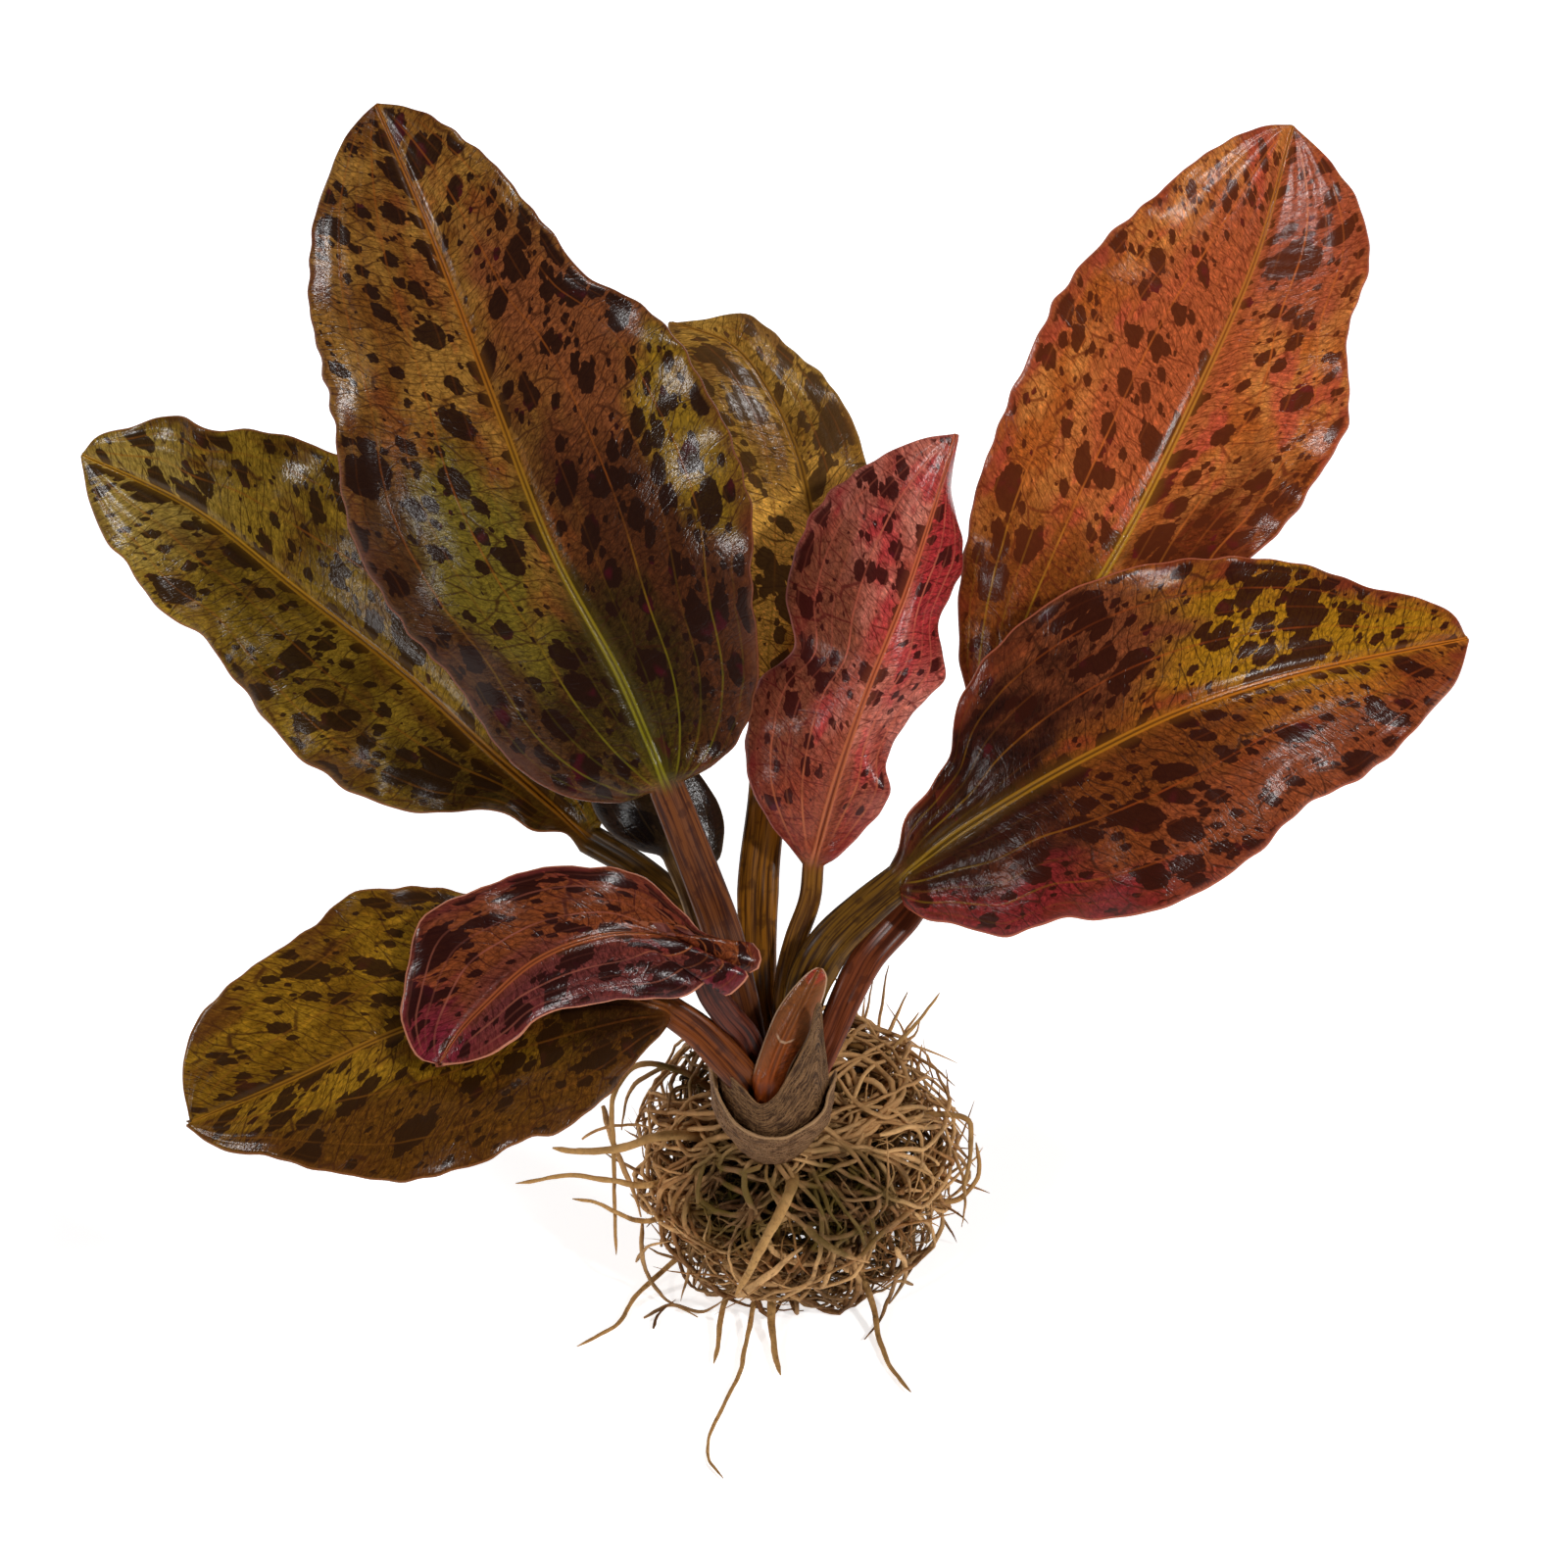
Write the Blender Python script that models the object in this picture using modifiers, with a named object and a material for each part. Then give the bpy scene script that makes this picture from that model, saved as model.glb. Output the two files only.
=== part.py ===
"""Amazon sword plant with bare roots, standing on its root ball.

Blender 4.5 script, in metres with +Z up. The origin is the middle of the flat underside of
the root ball. Run it with: blender --background --python part.py

The leaves are laid out on a sloping board: "right" and "up" run along the board and "near"
stands out of it, all in millimetres from the origin. The board leans back so that it faces
someone who looks down at the plant by BOARD_TILT degrees.
"""

import math

import bmesh
import bpy
import numpy as np
from mathutils import Matrix

MM = 0.001

# ---------------------------------------------------------------- driving sizes (millimetres)
BOARD_TILT = 35.0

BLADE_THICK = 0.6
BLADE_STEPS = 15
STALK_STEPS = 6
STALK_ROUNDNESS = 0.9
RIB_TAPER = 1.3
RIB_TIP_REACH = 1.0
RIB_SIDE_PLACE = 0.6
BLADE_SIDE_PLACE = 0.55

BALL_RADIUS_X = 30.2
BALL_RADIUS_Y = 29.6
BALL_RADIUS_Z = 25.8
BALL_MIDDLE = 22.0
BALL_FULLNESS = 0.6
BALL_SEGMENTS = 26
BALL_RINGS = 16
BALL_DENT_DEPTH = 0.39
BALL_DENT_ANGLE = 58.0
BALL_LUMPS = 0.025

CROWN_FOOT = (-4.0, -16.5, 33.0)
CROWN_LEAN = 11.0
CROWN_STEPS = 16
SHEATH_THICK = 0.7
SHEATH_RISE_STEPS = 6
SHEATH_TURN_STEP = 11.25
INNER_SHEATH_GAP = 0.6
INNER_SHEATH_FOOT = 5.0
OUTER_SHEATH_GAP = 1.85
OUTER_SHEATH_FOOT = 1.0

ROOT_END_TAPER = 0.45

# Radius of the crown's core at each height above its foot.
CROWN_PROFILE = [(0.0, 2.2), (3.0, 4.8), (7.0, 6.6), (11.0, 7.6), (12.6, 7.0), (13.6, 4.0)]

# Radius inside the old sheaths at each height above the crown's foot.
SHEATH_PROFILE = [(0.0, 2.2), (3.0, 4.8), (7.0, 6.8), (11.0, 8.0), (16.0, 8.2), (34.0, 9.0)]

# Top edge of each old sheath: angle round the crown (270 is the front), height above its foot.
INNER_SHEATH_EDGE = [
    (160, 12.0), (190, 17.0), (222, 14.6), (262, 15.0), (300, 21.0), (317, 28.0), (327, 31.0),
    (336, 14.5), (375, 12.0),
]
OUTER_SHEATH_EDGE = [
    (165, 11.0), (185, 15.5), (215, 12.5), (245, 9.5), (275, 8.5), (305, 10.0), (335, 13.0),
    (360, 14.0), (380, 12.0),
]

# ---------------------------------------------------------------- leaves
# Each leaf: its stalk from the crown to the blade, the midrib on to the tip, and the blade's
# left and right margins, as (right, up, near) points. "wide" is half the stalk's width at the
# crown, halfway and at the blade. "waves" is the number, height and start of the ripples of
# the margins.
LEAVES = {
    "leaf_upper_left": dict(
        stalk=[
            (-6.7, 33.3, 36.2), (-8.2, 41, 39), (-10, 48, 42), (-12.5, 57, 46.5), (-17, 69.5, 50.5),
            (-22, 82.5, 54.5),
        ],
        rib=[
            (-29, 99.5, 59), (-40.5, 121, 61.5), (-51, 147.5, 59), (-62.5, 177, 48.5), (-73.5, 202, 32),
        ],
        left=[
            (-29.5, 80, 54.5), (-37.5, 80.5, 55.5), (-47, 85.5, 55.5), (-58.5, 101, 56), (-67, 110.5, 56),
            (-75.5, 125, 55.5), (-78.5, 143.5, 52), (-84, 169, 44), (-81.5, 189, 36),
            (-76.5, 199.5, 31.5),
        ],
        right=[
            (-17, 84.5, 54.5), (-11, 89, 53), (-6.5, 101.5, 53), (-7.5, 114.5, 54.5), (-8, 131.5, 55),
            (-15, 149.5, 53.5), (-26.5, 165, 52), (-35.5, 169.5, 52), (-42.5, 178, 49), (-56.5, 194, 41),
            (-69, 201.5, 34),
        ],
        wide=(2.3, 3.3, 3.0),
        waves=(4, 1.2, 0.4),
        colour=(0.18, 0.09, 0.025),
    ),
    "leaf_far_left": dict(
        stalk=[
            (-8.6, 35.6, 32.6), (-12, 46, 33), (-15, 55.5, 34.5), (-21, 63, 33.5), (-29.5, 69.5, 32.5),
            (-36.5, 73.5, 31),
        ],
        rib=[
            (-53.5, 88.5, 31.5), (-68.5, 102, 28.5), (-88.5, 117.5, 23.5), (-107.5, 132, 14),
            (-130, 143, 1),
        ],
        left=[
            (-40, 74, 31.5), (-46, 75, 33), (-51.5, 78, 32.5), (-66.5, 78, 31.5), (-80.5, 83, 29.5),
            (-90.5, 91, 27), (-97, 98.5, 24), (-106, 109.5, 19.5), (-114.5, 115, 16.5),
            (-120, 122.5, 12.5), (-126, 129.5, 8), (-129, 137.5, 3.5),
        ],
        right=[
            (-32.5, 77, 31), (-36.5, 90, 31.5), (-46.5, 110.5, 31.5), (-64.5, 133, 27.5), (-82, 141.5, 22),
            (-94.5, 146, 16.5), (-105.5, 146.5, 14), (-111.5, 149.5, 9), (-121, 147.5, 5),
            (-127.5, 146, 2),
        ],
        wide=(1.8, 2.2, 2.6),
        waves=(5, 1.0, 1.6),
        colour=(0.15, 0.11, 0.015),
    ),
    "leaf_back": dict(
        stalk=[
            (-4.2, 35.6, 32.6), (-5.8, 44, 35.2), (-6.5, 53, 38), (-6.5, 66, 38.5), (-5, 81, 37),
            (-4.5, 93.5, 36),
        ],
        rib=[
            (-0.5, 103.5, 34.5), (3, 117.5, 32), (2, 134.5, 27), (-4, 151.5, 19), (-11.5, 162, 12),
            (-22.5, 166.5, 6),
        ],
        left=[
            (-6.5, 94, 35), (-13.5, 103.5, 33.5), (-15, 117.5, 32), (-13.5, 131, 29.5),
            (-13.5, 144, 24.5), (-17.5, 154, 18), (-22.5, 162.5, 10.5),
        ],
        right=[
            (-2, 94, 35), (5.5, 100, 34.5), (13, 110.5, 32), (15, 124, 28.5), (12.5, 140, 23),
            (7.5, 152.5, 16.5), (-1.5, 162, 11), (-9.5, 168, 7), (-17, 167, 6),
        ],
        wide=(2.2, 3.5, 2.9),
        waves=(3, 0.8, 0.9),
        colour=(0.17, 0.12, 0.02),
    ),
    "leaf_middle_red": dict(
        stalk=[
            (-2.4, 34, 35.6), (-2.2, 44, 38.4), (-1.5, 50, 40.5), (0, 56, 41.5), (2.5, 63.5, 43),
            (3, 69, 43.5),
        ],
        rib=[(6, 80.5, 48), (11.5, 97, 52), (19, 116, 50), (24, 131, 44), (28, 144, 34)],
        left=[
            (0, 71, 44), (-3.5, 75, 45), (-8, 84, 46), (-8.5, 91, 45.5), (-6, 101, 45),
            (-0.5, 106, 46), (-1.5, 115, 44.5), (1.5, 127, 41.5), (7, 134.5, 39), (15, 140, 36.5),
            (23.5, 143.5, 34.5),
        ],
        right=[
            (6.5, 70, 45), (11.5, 75, 46.5), (16, 81, 48), (15.5, 87, 46.5), (20, 95, 46),
            (25.5, 101.5, 45), (24.5, 109.5, 45.5), (29, 122, 40.5), (27, 135, 36.5),
        ],
        wide=(1.4, 1.9, 1.7),
        waves=(5, 1.2, 0.0),
        colour=(0.36, 0.08, 0.055),
    ),
    "leaf_upper_right": dict(
        stalk=[
            (2.3, 31.4, 41.7), (6.2, 40, 42.8), (8.5, 45.5, 43.5), (12, 52.5, 43.5), (19.5, 61.5, 40.5),
            (27, 77, 39), (34, 89.5, 39),
        ],
        rib=[(42, 102, 39), (55, 122, 39), (70, 151, 34.5), (81.5, 176, 24), (90, 202, 7)],
        left=[
            (31.5, 93.5, 38.5), (29, 102, 37.5), (28.5, 113.5, 36.5), (31.5, 133.5, 35), (38.5, 152.5, 32),
            (48.5, 172, 27), (65, 188.5, 19), (77.5, 198.5, 12), (86, 202, 8),
        ],
        right=[
            (38.5, 89, 40.5), (50.5, 94, 43), (65.5, 103, 43.5), (78, 121.5, 41.5), (85, 128, 39),
            (91.5, 137.5, 36.5), (96.5, 145.5, 33), (97, 160.5, 27.5), (102.5, 180, 17.5), (97, 194.5, 10.5),
        ],
        wide=(1.3, 2.4, 2.2),
        waves=(4, 1.0, 2.2),
        colour=(0.34, 0.14, 0.045),
    ),
    "leaf_right": dict(
        stalk=[
            (-0.5, 31.5, 39.4), (0.5, 41, 42), (2.5, 49.5, 44.5), (6, 55.5, 46), (12, 61.5, 46.5),
            (18, 66.5, 47),
        ],
        rib=[
            (25, 72.5, 49), (34.5, 79, 52), (52, 89, 54), (64.5, 95, 54), (82.5, 101, 49.5),
            (100, 105, 42), (118, 108.5, 30),
        ],
        left=[
            (17.5, 71.5, 47.5), (18.5, 76, 48), (23.5, 83, 48.5), (26.5, 88, 48), (27.5, 95.5, 47.5),
            (34.5, 106.5, 47), (46, 115.5, 46.5), (57.5, 120, 45), (74, 122, 43.5), (90, 120.5, 39.5),
            (100.5, 117, 36), (110.5, 115, 33), (116, 112, 31),
        ],
        right=[
            (18.5, 62.5, 47.5), (21, 60.5, 48), (27.5, 59, 50), (36, 57, 52.5), (44, 60, 54.5),
            (52, 60, 56), (66, 63.5, 56.5), (78, 71, 55), (86.5, 79, 52.5), (98.5, 85, 47),
            (109, 94.5, 40.5), (116, 102, 34),
        ],
        wide=(2.3, 3.9, 2.9),
        waves=(5, 1.0, 0.8),
        colour=(0.24, 0.11, 0.03),
    ),
    "leaf_lower_left": dict(
        stalk=[
            (-7.4, 28.6, 42.3), (-9.6, 31.4, 45.3), (-13.4, 35.2, 47), (-17.4, 40, 48.8),
            (-21.5, 43.5, 50.5),
        ],
        rib=[
            (-28.5, 47, 55), (-42, 48.5, 60.5), (-55, 45.5, 64.5), (-68.5, 41, 68.5), (-83.5, 34, 71.5),
            (-101, 26.5, 72),
        ],
        left=[
            (-22.5, 41.5, 51.5), (-25.5, 38, 56.5), (-32, 30.5, 64.5), (-39, 25.5, 71), (-45, 24, 75),
            (-54, 20, 79.5), (-66.5, 18, 82.5), (-74, 19, 83), (-84.5, 21.5, 81.5), (-97, 23.5, 75.5),
        ],
        right=[
            (-22, 47.5, 49.5), (-29, 56, 48), (-42.5, 62.5, 51.5), (-57, 64.5, 55.5), (-68, 65.5, 58),
            (-76.5, 63.5, 60.5), (-82.5, 58, 62), (-91.5, 52, 65), (-97, 47, 67.5), (-100.5, 42.5, 69),
            (-102, 35, 71),
        ],
        wide=(1.7, 2.1, 2.4),
        waves=(4, 0.8, 1.0),
        colour=(0.17, 0.11, 0.02),
    ),
    "leaf_curled_red": dict(
        stalk=[
            (-6.8, 31, 39.4), (-6.9, 35.5, 42.6), (-8.4, 39.2, 45), (-11.5, 43, 48.5),
            (-14.5, 47.5, 52.5), (-16, 52, 55.5), (-16.5, 55, 57.5),
        ],
        rib=[
            (-20.5, 57, 59.5), (-27.5, 58, 62.5), (-35, 57, 66), (-43.5, 53.5, 69.5), (-51, 47, 72.5),
            (-56.5, 41, 74.5), (-59, 36.5, 76),
        ],
        left=[
            (-13, 52.5, 59), (-9, 50.5, 60), (-10, 48.5, 61), (-12, 47.5, 61.5), (-15.5, 48.5, 62),
            (-20, 47.5, 63), (-26, 47, 65.5), (-36, 46, 69.5), (-41, 45, 71.5), (-47, 40.5, 75),
            (-52.5, 37.5, 77),
        ],
        right=[
            (-13, 54.5, 56), (-8.5, 52.5, 55.5), (-6, 54, 56.5), (-7.5, 56, 56.5), (-12, 57, 56.5),
            (-17, 58.5, 56.5), (-19.5, 61.5, 56.5), (-27, 67.5, 56.5), (-35, 69, 57.5), (-46, 68, 59),
            (-54, 65, 62), (-62, 61, 66), (-65, 50.5, 71), (-65, 42.5, 74), (-62, 37.5, 76),
        ],
        wide=(1.7, 2.4, 2.1),
        waves=(3, 0.5, 0.5),
        colour=(0.2, 0.05, 0.04),
    ),
    "leaf_small_dark": dict(
        stalk=[
            (-10.8, 33.5, 35.5), (-12.3, 45, 36.1), (-14, 53, 37.5), (-16.5, 58, 39),
            (-19, 65, 40.5), (-21, 69.5, 40.5),
        ],
        rib=[(-22, 74.5, 42), (-25.5, 86.5, 42), (-28, 98.5, 39.5), (-29.5, 108.5, 35)],
        left=[
            (-23, 70, 40.5), (-27, 71.5, 41), (-33.5, 76, 40), (-36, 82, 39), (-35.5, 91.5, 38.5),
            (-33, 102, 37),
        ],
        right=[
            (-18, 69, 40.5), (-14, 69.5, 40.5), (-12.5, 74, 40), (-13.5, 79.5, 39), (-18.5, 87, 39),
            (-24, 100, 38.5),
        ],
        wide=(1.4, 1.6, 1.6),
        waves=(2, 0.5, 0.3),
        colour=(0.03, 0.028, 0.015),
    ),
}

YOUNG_SHOOT = dict(
    stalk=[(-4.1, 29, 45.3), (-3.9, 32, 46)],
    rib=[(-2.5, 37, 47.5), (0, 43.5, 49), (3.5, 50.8, 48)],
    left=[(-5.5, 34.5, 46), (-4.8, 40, 46.5), (-3, 44.5, 47.5), (0, 49, 47.5)],
    right=[(-2, 34.5, 46.5), (0.6, 39, 47), (2.6, 44, 47.5), (4.8, 49, 47.5)],
    wide=(1.2, 1.5, 1.7),
    waves=(1, 0.0, 0.0),
    colour=(0.22, 0.09, 0.03),
)

# ---------------------------------------------------------------- loose roots
# Each root outside the ball: its radius and the points it follows, as (x, y, z).
ROOTS = {
    "root_front_long": (0.6, [
        (-8, -24, 2.3), (-9.5, -35.5, 0.8), (-13, -46.5, 0.8), (-15, -53, 0.8), (-15, -58, 0.8),
        (-12.5, -63, 0.7),
    ]),
    "root_front_thick": (1.1, [(-4.4, -25.8, 2.4), (-3.6, -32, 1.3), (-2.6, -38, 1.2)]),
    "root_front_short": (0.9, [(-13, -22.6, 2.4), (-13.6, -28.5, 1.1), (-14.5, -34.5, 1.0)]),
    "root_front_left": (0.7, [
        (-24.6, -13, 2.6), (-28.9, -17.1, 1.0), (-31.5, -24.2, 0.9), (-38.8, -30.1, 0.9),
    ]),
    "root_front_right": (0.8, [
        (14, -23, 3.2), (14.8, -28, 1.1), (16.5, -34.5, 0.9), (20, -42, 0.9),
    ]),
    "root_back_left": (0.8, [(-16.2, 20.5, 3.2), (-19, 26, 1.2), (-25, 31, 0.9), (-29, 38, 0.9)]),
    "root_back_right": (0.8, [(12.8, 23, 3.2), (14, 28.5, 1.2), (12, 35, 0.9), (17, 42, 0.9)]),
    "root_left_thick": (1.2, [
        (-24, -11.5, 33.5), (-30, -15, 34), (-38, -17, 34.5), (-42.5, -17.5, 36),
    ]),
    "root_left_long": (0.8, [(-28, -14.5, 25), (-32, -17, 28), (-39, -19, 31), (-49, -22, 31.5)]),
    "root_left_bent": (0.7, [
        (-27.5, -16.2, 18), (-31.5, -19.5, 22.8), (-35, -20.5, 26), (-39, -21, 27.5),
    ]),
    "root_left_hanging": (0.7, [
        (-22, 1.5, 38.5), (-28, 0, 40.5), (-32, -4, 37.5), (-32.3, -9, 29.9), (-32, -16, 23.8),
        (-31.5, -23, 16.2),
    ]),
    "root_right_upper": (0.6, [(19.4, 7.3, 41), (22.2, 10.2, 42.8), (26, 14, 46)]),
    "root_right_loop": (0.8, [(28.4, -3.8, 32), (30.5, -4.8, 32), (31, -8, 28.5), (29.5, -14, 23)]),
    "root_right_side": (0.8, [(30.2, -7, 16), (32.8, -6, 20), (32.3, -2, 24.5)]),
    "root_back_hanging": (0.7, [(-3, 29.5, 30), (-5, 33, 26), (-3, 35, 19), (-6, 36, 12)]),
    "root_pale": (1.4, [(-1.6, -27.3, 32.4), (-6.8, -32, 23.6), (-10.4, -31.8, 14.5)]),
}


# ---------------------------------------------------------------- curves and placing
def board_axes():
    """The board's right, up and near directions in the world, as the columns of a matrix."""
    turn = math.radians(90.0 - BOARD_TILT)
    return np.array([
        (1.0, 0.0, 0.0),
        (0.0, math.cos(turn), -math.sin(turn)),
        (0.0, math.sin(turn), math.cos(turn)),
    ])


def smooth_line(points, fractions):
    """Points at the given fractions of the way along a smooth curve through the points."""
    knots = np.array(points, float)
    steps = np.linalg.norm(np.diff(knots, axis=0), axis=1)
    places = np.concatenate([[0.0], np.cumsum(steps)])
    slopes = np.gradient(knots, places, axis=0)
    at = np.asarray(fractions) * places[-1]
    piece = np.clip(np.searchsorted(places, at, side="right") - 1, 0, len(knots) - 2)
    span = (places[piece + 1] - places[piece])[:, None]
    t = (at - places[piece])[:, None] / span
    leaving = (2 * t**3 - 3 * t**2 + 1) * knots[piece] + (t**3 - 2 * t**2 + t) * span * slopes[piece]
    arriving = (3 * t**2 - 2 * t**3) * knots[piece + 1] + (t**3 - t**2) * span * slopes[piece + 1]
    return leaving + arriving


def unit(vectors):
    """The vectors at length one."""
    return vectors / np.linalg.norm(vectors, axis=-1, keepdims=True)


def edge_height(edge, angle):
    """The height of a sheath's top edge at an angle round the crown."""
    angles, heights = zip(*edge)
    return float(np.interp(angle, angles, heights))


# ---------------------------------------------------------------- objects and materials
def material(name, colour, roughness):
    """A plain Principled material."""
    made = bpy.data.materials.new(name)
    made.use_nodes = True
    shader = made.node_tree.nodes["Principled BSDF"]
    shader.inputs["Base Color"].default_value = (*colour, 1.0)
    shader.inputs["Roughness"].default_value = roughness
    shader.inputs["Metallic"].default_value = 0.0
    return made


def mesh_object(name, collection, made_of, millimetres, faces):
    """A mesh object from points in millimetres, its faces turned outwards."""
    mesh = bpy.data.meshes.new(name)
    mesh.from_pydata((np.asarray(millimetres) * MM).tolist(), [], faces)
    shape = bmesh.new()
    shape.from_mesh(mesh)
    bmesh.ops.recalc_face_normals(shape, faces=shape.faces)
    shape.to_mesh(mesh)
    shape.free()
    mesh.materials.append(made_of)
    mesh.shade_smooth()
    collection.objects.link(bpy.data.objects.new(name, mesh))


# ---------------------------------------------------------------- leaves
def leaf_lines(leaf):
    """The middle, left and right lines of a leaf from the crown to its tip."""
    stalk_at = np.linspace(0.0, 1.0, STALK_STEPS + 1)
    blade_at = np.linspace(0.0, 1.0, BLADE_STEPS + 1)
    stalk = smooth_line(leaf["stalk"], stalk_at)
    ahead = unit(np.gradient(stalk, axis=0))
    side = unit(np.cross(ahead, (0.0, 0.0, 1.0)))
    half = np.interp(stalk_at, (0.0, 0.5, 1.0), leaf["wide"])[:, None]
    stalk_left = stalk - side * half
    stalk_right = stalk + side * half
    tip = np.array(leaf["rib"][-1], float)
    tip_side = side[-1] * BLADE_THICK
    rib = smooth_line([stalk[-1], *leaf["rib"]], blade_at)
    left = smooth_line([stalk_left[-1], *leaf["left"], tip - tip_side], blade_at)
    right = smooth_line([stalk_right[-1], *leaf["right"], tip + tip_side], blade_at)
    return (
        np.concatenate([stalk, rib[1:]]),
        np.concatenate([stalk_left, left[1:]]),
        np.concatenate([stalk_right, right[1:]]),
    )


def leaf_grid(leaf):
    """The leaf's upper face: a row of points across it at each step, and the rib's depth there."""
    middle, left, right = leaf_lines(leaf)
    count = len(middle)
    blade_along = np.clip((np.arange(count) - STALK_STEPS) / BLADE_STEPS, 0.0, 1.0)
    throat = leaf["wide"][-1]
    number, height, start = leaf["waves"]
    rows = []
    depths = []
    for step, along in enumerate(blade_along):
        stalk_half = np.linalg.norm(right[step] - left[step]) / 2
        on_stalk = step <= STALK_STEPS
        reach = stalk_half if on_stalk else np.interp(along, (0.0, 1.0), (throat, RIB_TIP_REACH))
        depth = STALK_ROUNDNESS * (stalk_half if on_stalk else throat * (1.0 - along) ** RIB_TAPER)
        row = []
        row_depths = []
        for edge, sign, places in (
            (left, -1.0, (1.0, BLADE_SIDE_PLACE, None)),
            (right, 1.0, (0.0, None, BLADE_SIDE_PLACE, 1.0)),
        ):
            across = edge[step] - middle[step]
            width = np.linalg.norm(across)
            beside_rib = min(BLADE_SIDE_PLACE, reach / width) * RIB_SIDE_PLACE
            for place in places:
                out = beside_rib if place is None else place
                ripple = math.sin(math.tau * number * along + start + sign)
                lift = height * out**2 * ripple * math.sin(math.pi * along)
                row.append(middle[step] + out * across + np.array((0.0, 0.0, lift)))
                inside = max(0.0, 1.0 - (out * width / reach) ** 2)
                row_depths.append(depth * math.sqrt(inside))
        rows.append(row)
        depths.append(row_depths)
    return np.array(rows), np.array(depths)


def add_leaf(name, leaf, collection):
    """One leaf as a closed solid: a thin blade, and a rib under it that thickens into the stalk."""
    grid, depths = leaf_grid(leaf)
    facing = unit(np.cross(np.gradient(grid, axis=1), np.gradient(grid, axis=0)))
    upper = grid + facing * BLADE_THICK / 2
    lower = grid - facing * (BLADE_THICK / 2 + depths[..., None])
    rings = np.concatenate([upper, lower[:, ::-1]], axis=1)
    steps, around = rings.shape[:2]
    faces = []
    for step in range(steps - 1):
        for place in range(around):
            following = (place + 1) % around
            first = step * around
            second = first + around
            faces.append((first + place, first + following, second + following, second + place))
    faces.append(tuple(range(around)))
    faces.append(tuple(range((steps - 1) * around, steps * around)))
    points = rings.reshape(-1, 3) @ board_axes().T
    mesh_object(name, collection, material(name, leaf["colour"], 0.35), points, faces)


# ---------------------------------------------------------------- crown
def crown_matrix():
    """The crown's own axes: its foot low in the roots, its top leaning back from the viewer."""
    place = Matrix.Translation([value * MM for value in CROWN_FOOT])
    return place @ Matrix.Rotation(-math.radians(CROWN_LEAN), 4, "X")


def add_crown(collection):
    """The stem's hard core, turned round the crown's axis."""
    outline = [(radius, height) for height, radius in CROWN_PROFILE]
    profile = [(0.0, CROWN_PROFILE[-1][0]), *reversed(outline), (0.0, 0.0)]
    mesh = bpy.data.meshes.new("crown")
    points = [(radius * MM, 0.0, height * MM) for radius, height in profile]
    mesh.from_pydata(points, [(step, step + 1) for step in range(len(points) - 1)], [])
    mesh.materials.append(material("crown", (0.11, 0.06, 0.03), 0.8))
    crown = bpy.data.objects.new("crown", mesh)
    crown.matrix_world = crown_matrix()
    turn = crown.modifiers.new("turn", "SCREW")
    turn.steps = CROWN_STEPS
    turn.render_steps = CROWN_STEPS
    turn.use_merge_vertices = True
    turn.merge_threshold = 0.0001
    collection.objects.link(crown)


def add_sheath(name, collection, edge, gap, foot):
    """A dead leaf base: a thin shell round the crown from its foot up to its ragged top edge."""
    first, last = edge[0][0], edge[-1][0]
    angles = np.linspace(first, last, int((last - first) / SHEATH_TURN_STEP) + 1)
    heights, radii = zip(*SHEATH_PROFILE)
    shape = bmesh.new()
    rows = []
    for angle in angles:
        turn = math.radians(angle)
        row = []
        for rise in np.linspace(foot, edge_height(edge, angle), SHEATH_RISE_STEPS + 1):
            radius = (float(np.interp(rise, heights, radii)) + gap) * MM
            point = (radius * math.cos(turn), radius * math.sin(turn), rise * MM)
            row.append(shape.verts.new(point))
        rows.append(row)
    for row, following in zip(rows, rows[1:]):
        for step in range(SHEATH_RISE_STEPS):
            shape.faces.new((row[step], following[step], following[step + 1], row[step + 1]))
    mesh = bpy.data.meshes.new(name)
    shape.to_mesh(mesh)
    shape.free()
    mesh.materials.append(material(name, (0.2, 0.13, 0.07), 0.85))
    sheath = bpy.data.objects.new(name, mesh)
    sheath.matrix_world = crown_matrix()
    wall = sheath.modifiers.new("wall", "SOLIDIFY")
    wall.thickness = SHEATH_THICK * MM
    wall.offset = 1.0
    collection.objects.link(sheath)


# ---------------------------------------------------------------- roots
def ball_size(direction):
    """The root ball's size along a unit direction: lumpy, and pressed in where the crown sits."""
    crown_way = unit(np.array(CROWN_FOOT) + (0.0, 3.0, 8.0) - (0.0, 0.0, BALL_MIDDLE))
    angle = math.degrees(math.acos(float(np.clip(direction @ crown_way, -1.0, 1.0))))
    dent = BALL_DENT_DEPTH * math.cos(math.radians(90.0 * min(angle / BALL_DENT_ANGLE, 1.0)))
    x, y, z = direction
    lumps = math.sin(7.0 * x + 2.0 * y) * math.cos(6.0 * y - 3.0 * z)
    return 1.0 - dent + BALL_LUMPS * lumps


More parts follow.
